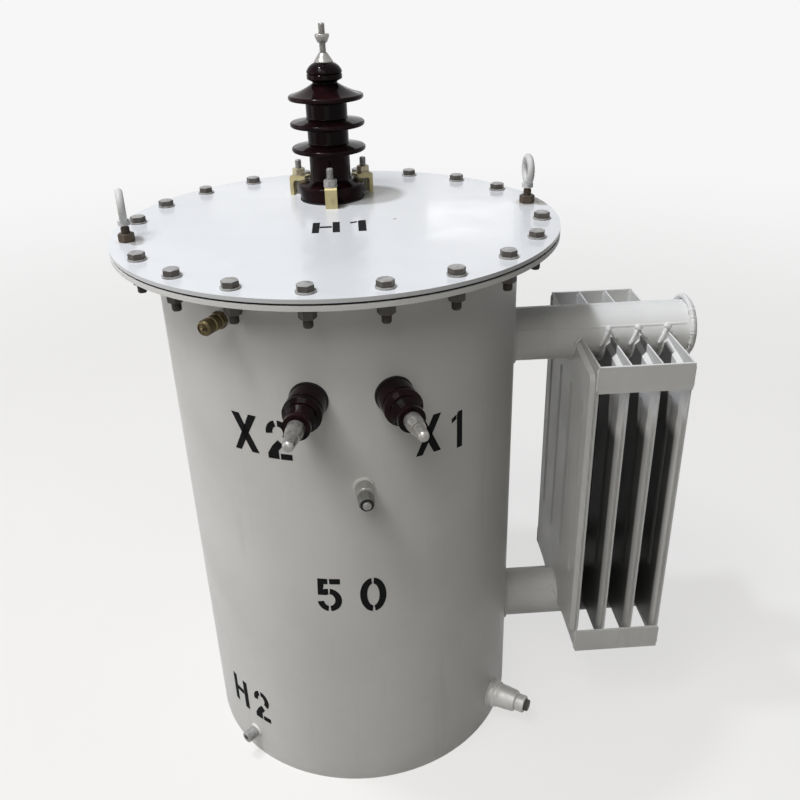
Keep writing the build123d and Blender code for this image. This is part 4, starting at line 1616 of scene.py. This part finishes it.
    def trace(self, weld: Form, x: float, route: Outline, height: float, bead: Bead) -> None:
        """Adds a bead along a route on a header.

        Args:
            weld: The form that it joins.
            x: Place along the header that the route's offsets start from.
            route: Offsets along the header with angles round it.
            height: Height of the header's axis.
            bead: Size of the bead.
        """
        path = []
        for (x0, a0), (x1, a1) in zip(route, route[1:]):
            length = hypot(x1 - x0, radians(a1 - a0) * self.header_radius)
            count = max(2, int(length / self.trace_step))
            for share in (step / count for step in range(count)):
                path.append(self.on_header(x + x0 + (x1 - x0) * share, a0 + (a1 - a0) * share, height,
                                           self.trace_lift))
        path.append(self.on_header(x + route[-1][0], route[-1][1], height, self.trace_lift))
        weld.bead(path, bead)

    def build_strips(self) -> None:
        """Builds the short welds between the flat strips and the fins' seams."""
        weld = Form()
        draw = random.Random(self.seed)
        for middle, face, fin, side in product(self.strip_heights, (-1, 1), self.fins, (-1, 1)):
            x, y = fin + side * self.seam_half, face * self.fin_half
            start = middle - self.strip_half + draw.uniform(*self.strip_scatter)
            weld.bead([(Vector((x, y, start + self.strip_step * step)), Vector((side, -face, 0)))
                       for step in range(self.strip_points)], self.strip_bead)
        self.shop.deliver(weld, "strip_welds", Slot.RADIATOR)


@dataclass(frozen=True)
class Bow:
    """Curved stroke of a stencil, a band between two ovals."""

    centre: tuple[float, float]
    outer: tuple[float, float]
    inner: tuple[float, float]
    start: float
    end: float


class Glyph(Enum):
    """Strokes of each stencilled character, in a square with sides of 1."""

    H = (((0, 0), (0.25, 0), (0.27, 1), (0.01, 1)),
         ((0.27, 0.46), (0.71, 0.46), (0.71, 0.61), (0.27, 0.61)),
         ((0.74, 0), (1, 0), (0.99, 1), (0.73, 1)))
    X = (((0.0, 0), (0.25, 0), (1.0, 1), (0.69, 1)),
         ((0.0, 1), (0.31, 1), (0.98, 0), (0.69, 0)))
    ONE = (((0, 0.74), (0.44, 0.82), (0.44, 0.93), (0, 0.86)),
           ((0.50, 0), (1, 0), (1, 1), (0.62, 1), (0.50, 0.94)))
    TWO = (Bow((0.48, 0.70), (0.48, 0.30), (0.20, 0.15), 105, 190),
           Bow((0.50, 0.70), (0.50, 0.30), (0.22, 0.15), -42, 90),
           ((0, 0), (0, 0.13), (0.20, 0.33), (0.46, 0.50), (0.68, 0.38), (0.46, 0.22), (0.47, 0)),
           ((0.53, 0), (1, 0), (1, 0.15), (0.53, 0.15)))
    FIVE = (((0, 0.50), (0.36, 0.50), (0.45, 0.53), (0.45, 0.69), (0.30, 0.69), (0.24, 0.66), (0.28, 0.84),
             (0.45, 0.84), (0.45, 1), (0.03, 1)),
            ((0.52, 0.84), (0.97, 0.84), (0.97, 1), (0.52, 1)),
            Bow((0.46, 0.35), (0.54, 0.35), (0.26, 0.19), -83, 83),
            Bow((0.46, 0.35), (0.50, 0.35), (0.22, 0.19), 190, 263))
    ZERO = (Bow((0.5, 0.5), (0.5, 0.5), (0.23, 0.33), -84, 84),
            Bow((0.5, 0.5), (0.5, 0.5), (0.23, 0.33), 96, 264))


@dataclass(frozen=True)
class Mark:
    """One stencilled character, in millimetres.

    Its left edge is measured along the wall from the front, or along X on the cover. Its foot is a
    height, or a place along Y on the cover.
    """

    name: str
    glyph: Glyph
    left: float
    foot: float
    width: float
    height: float


@dataclass
class Stencils:
    """Terminal marks and the rating, stencilled in black on the tank and the cover."""

    shop: Workshop
    lift: float = 0.28
    thickness: float = 0.4
    cut: float = 3.0
    tank_marks: tuple[Mark, ...] = (
        Mark("mark_x2_letter", Glyph.X, left=-154.0, foot=585.5, width=38.0, height=54.0),
        Mark("mark_x2_number", Glyph.TWO, left=-104.0, foot=582.0, width=33.0, height=56.0),
        Mark("mark_x1_letter", Glyph.X, left=88.0, foot=574.0, width=37.5, height=54.5),
        Mark("mark_x1_number", Glyph.ONE, left=142.5, foot=566.5, width=18.0, height=54.0),
        Mark("mark_rating_5", Glyph.FIVE, left=-54.0, foot=340.0, width=33.0, height=56.4),
        Mark("mark_rating_0", Glyph.ZERO, left=4.2, foot=337.2, width=36.5, height=58.0),
        Mark("mark_h2_letter", Glyph.H, left=-244.0, foot=81.0, width=38.0, height=56.0),
        Mark("mark_h2_number", Glyph.TWO, left=-189.5, foot=80.5, width=31.5, height=59.5),
    )
    cover_marks: tuple[Mark, ...] = (
        Mark("mark_h1_letter", Glyph.H, left=-33.5, foot=-56.5, width=37.5, height=49.0),
        Mark("mark_h1_number", Glyph.ONE, left=18.0, foot=-55.5, width=21.5, height=51.5),
    )

    def build(self) -> None:
        """Builds each mark as a thin film of paint."""
        for marks, wrapped in ((self.tank_marks, True), (self.cover_marks, False)):
            for mark in marks:
                self.shop.deliver(self.film(mark, wrapped), mark.name, Slot.GASKET, Extra.STENCIL)

    def film(self, mark: Mark, wrapped: bool) -> Form:
        """Makes one mark's film.

        Args:
            mark: The character and its place.
            wrapped: Whether it lies on the tank's wall.

        Returns:
            The film in millimetres.
        """
        form = Form()
        place = Matrix.Translation((mark.left, mark.foot, 0.0))
        place @= Matrix.Diagonal((mark.width, mark.height, 1.0, 1.0))
        for stroke in mark.glyph.value:
            part = bmesh.new()
            if isinstance(stroke, Bow):
                self.add_bow(part, stroke)
            else:
                part.faces.new([part.verts.new((*point, 0.0)) for point in stroke])
            bmesh.ops.transform(part, verts=part.verts, matrix=place)
            if wrapped:
                self.cut_upright(part, mark)
            bmesh.ops.solidify(part, geom=part.faces[:], thickness=self.thickness)
            heights = [point.co.z for point in part.verts]
            middle = sum(heights) / len(heights)
            for point in part.verts:
                rise = self.lift if point.co.z > middle else self.lift - self.thickness
                if wrapped:
                    out = out_of_tank(270.0 + degrees(point.co.x / TANK_RADIUS))
                    point.co = out * (TANK_RADIUS + rise) + Vector((0, 0, point.co.y))
                else:
                    point.co.z = COVER_TOP + rise
            form.take(part)
        return form

    def cut_upright(self, part: bmesh.types.BMesh, mark: Mark) -> None:
        """Cuts a stroke into upright bands that can bend round the wall.

        Args:
            part: The flat stroke.
            mark: The mark that it is part of.
        """
        at = mark.left + self.cut
        while at < mark.left + mark.width:
            bmesh.ops.bisect_plane(part, geom=part.verts[:] + part.edges[:] + part.faces[:], dist=MERGE_MM,
                                   plane_co=(at, 0, 0), plane_no=(1, 0, 0))
            at += self.cut

    @staticmethod
    def add_bow(part: bmesh.types.BMesh, bow: Bow) -> None:
        """Spins a radial edge into a band and stretches its two rims to their ovals.

        Args:
            part: The mesh that it joins.
            bow: The curved stroke.
        """
        ends = [part.verts.new((radius * cos(radians(bow.start)), radius * sin(radians(bow.start)), 0.0))
                for radius in (1.0, 2.0)]
        edge = part.edges.new(ends)
        bmesh.ops.spin(part, geom=[*ends, edge], cent=(0, 0, 0), axis=(0, 0, 1), steps=22, use_merge=False,
                       angle=radians(bow.end - bow.start))
        inner = [point for point in part.verts if point.co.length < 1.5]
        outer = [point for point in part.verts if point.co.length >= 1.5]
        bmesh.ops.scale(part, vec=(*bow.inner, 1.0), verts=inner)
        bmesh.ops.scale(part, vec=(bow.outer[0] / 2, bow.outer[1] / 2, 1.0), verts=outer)
        bmesh.ops.translate(part, vec=(*bow.centre, 0.0), verts=part.verts)


def main() -> None:
    """Builds the scene in order."""
    logging.basicConfig(level=logging.INFO, format="%(name)s: %(message)s")
    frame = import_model()
    PhotoCamera().build()
    Studio().build()
    finishes = Finishes()
    finishes.build()
    finishes.dress_frame(frame)
    shop = Workshop(finishes)
    for assembly in (CoverHardware(shop), BushingHardware(shop), EarthStud(shop), WallFittings(shop),
                     TankWelds(shop), RadiatorWelds(shop), Stencils(shop)):
        assembly.build()
        log.info("%s is in place", type(assembly).__name__)


if __name__ == "__main__":
    main()
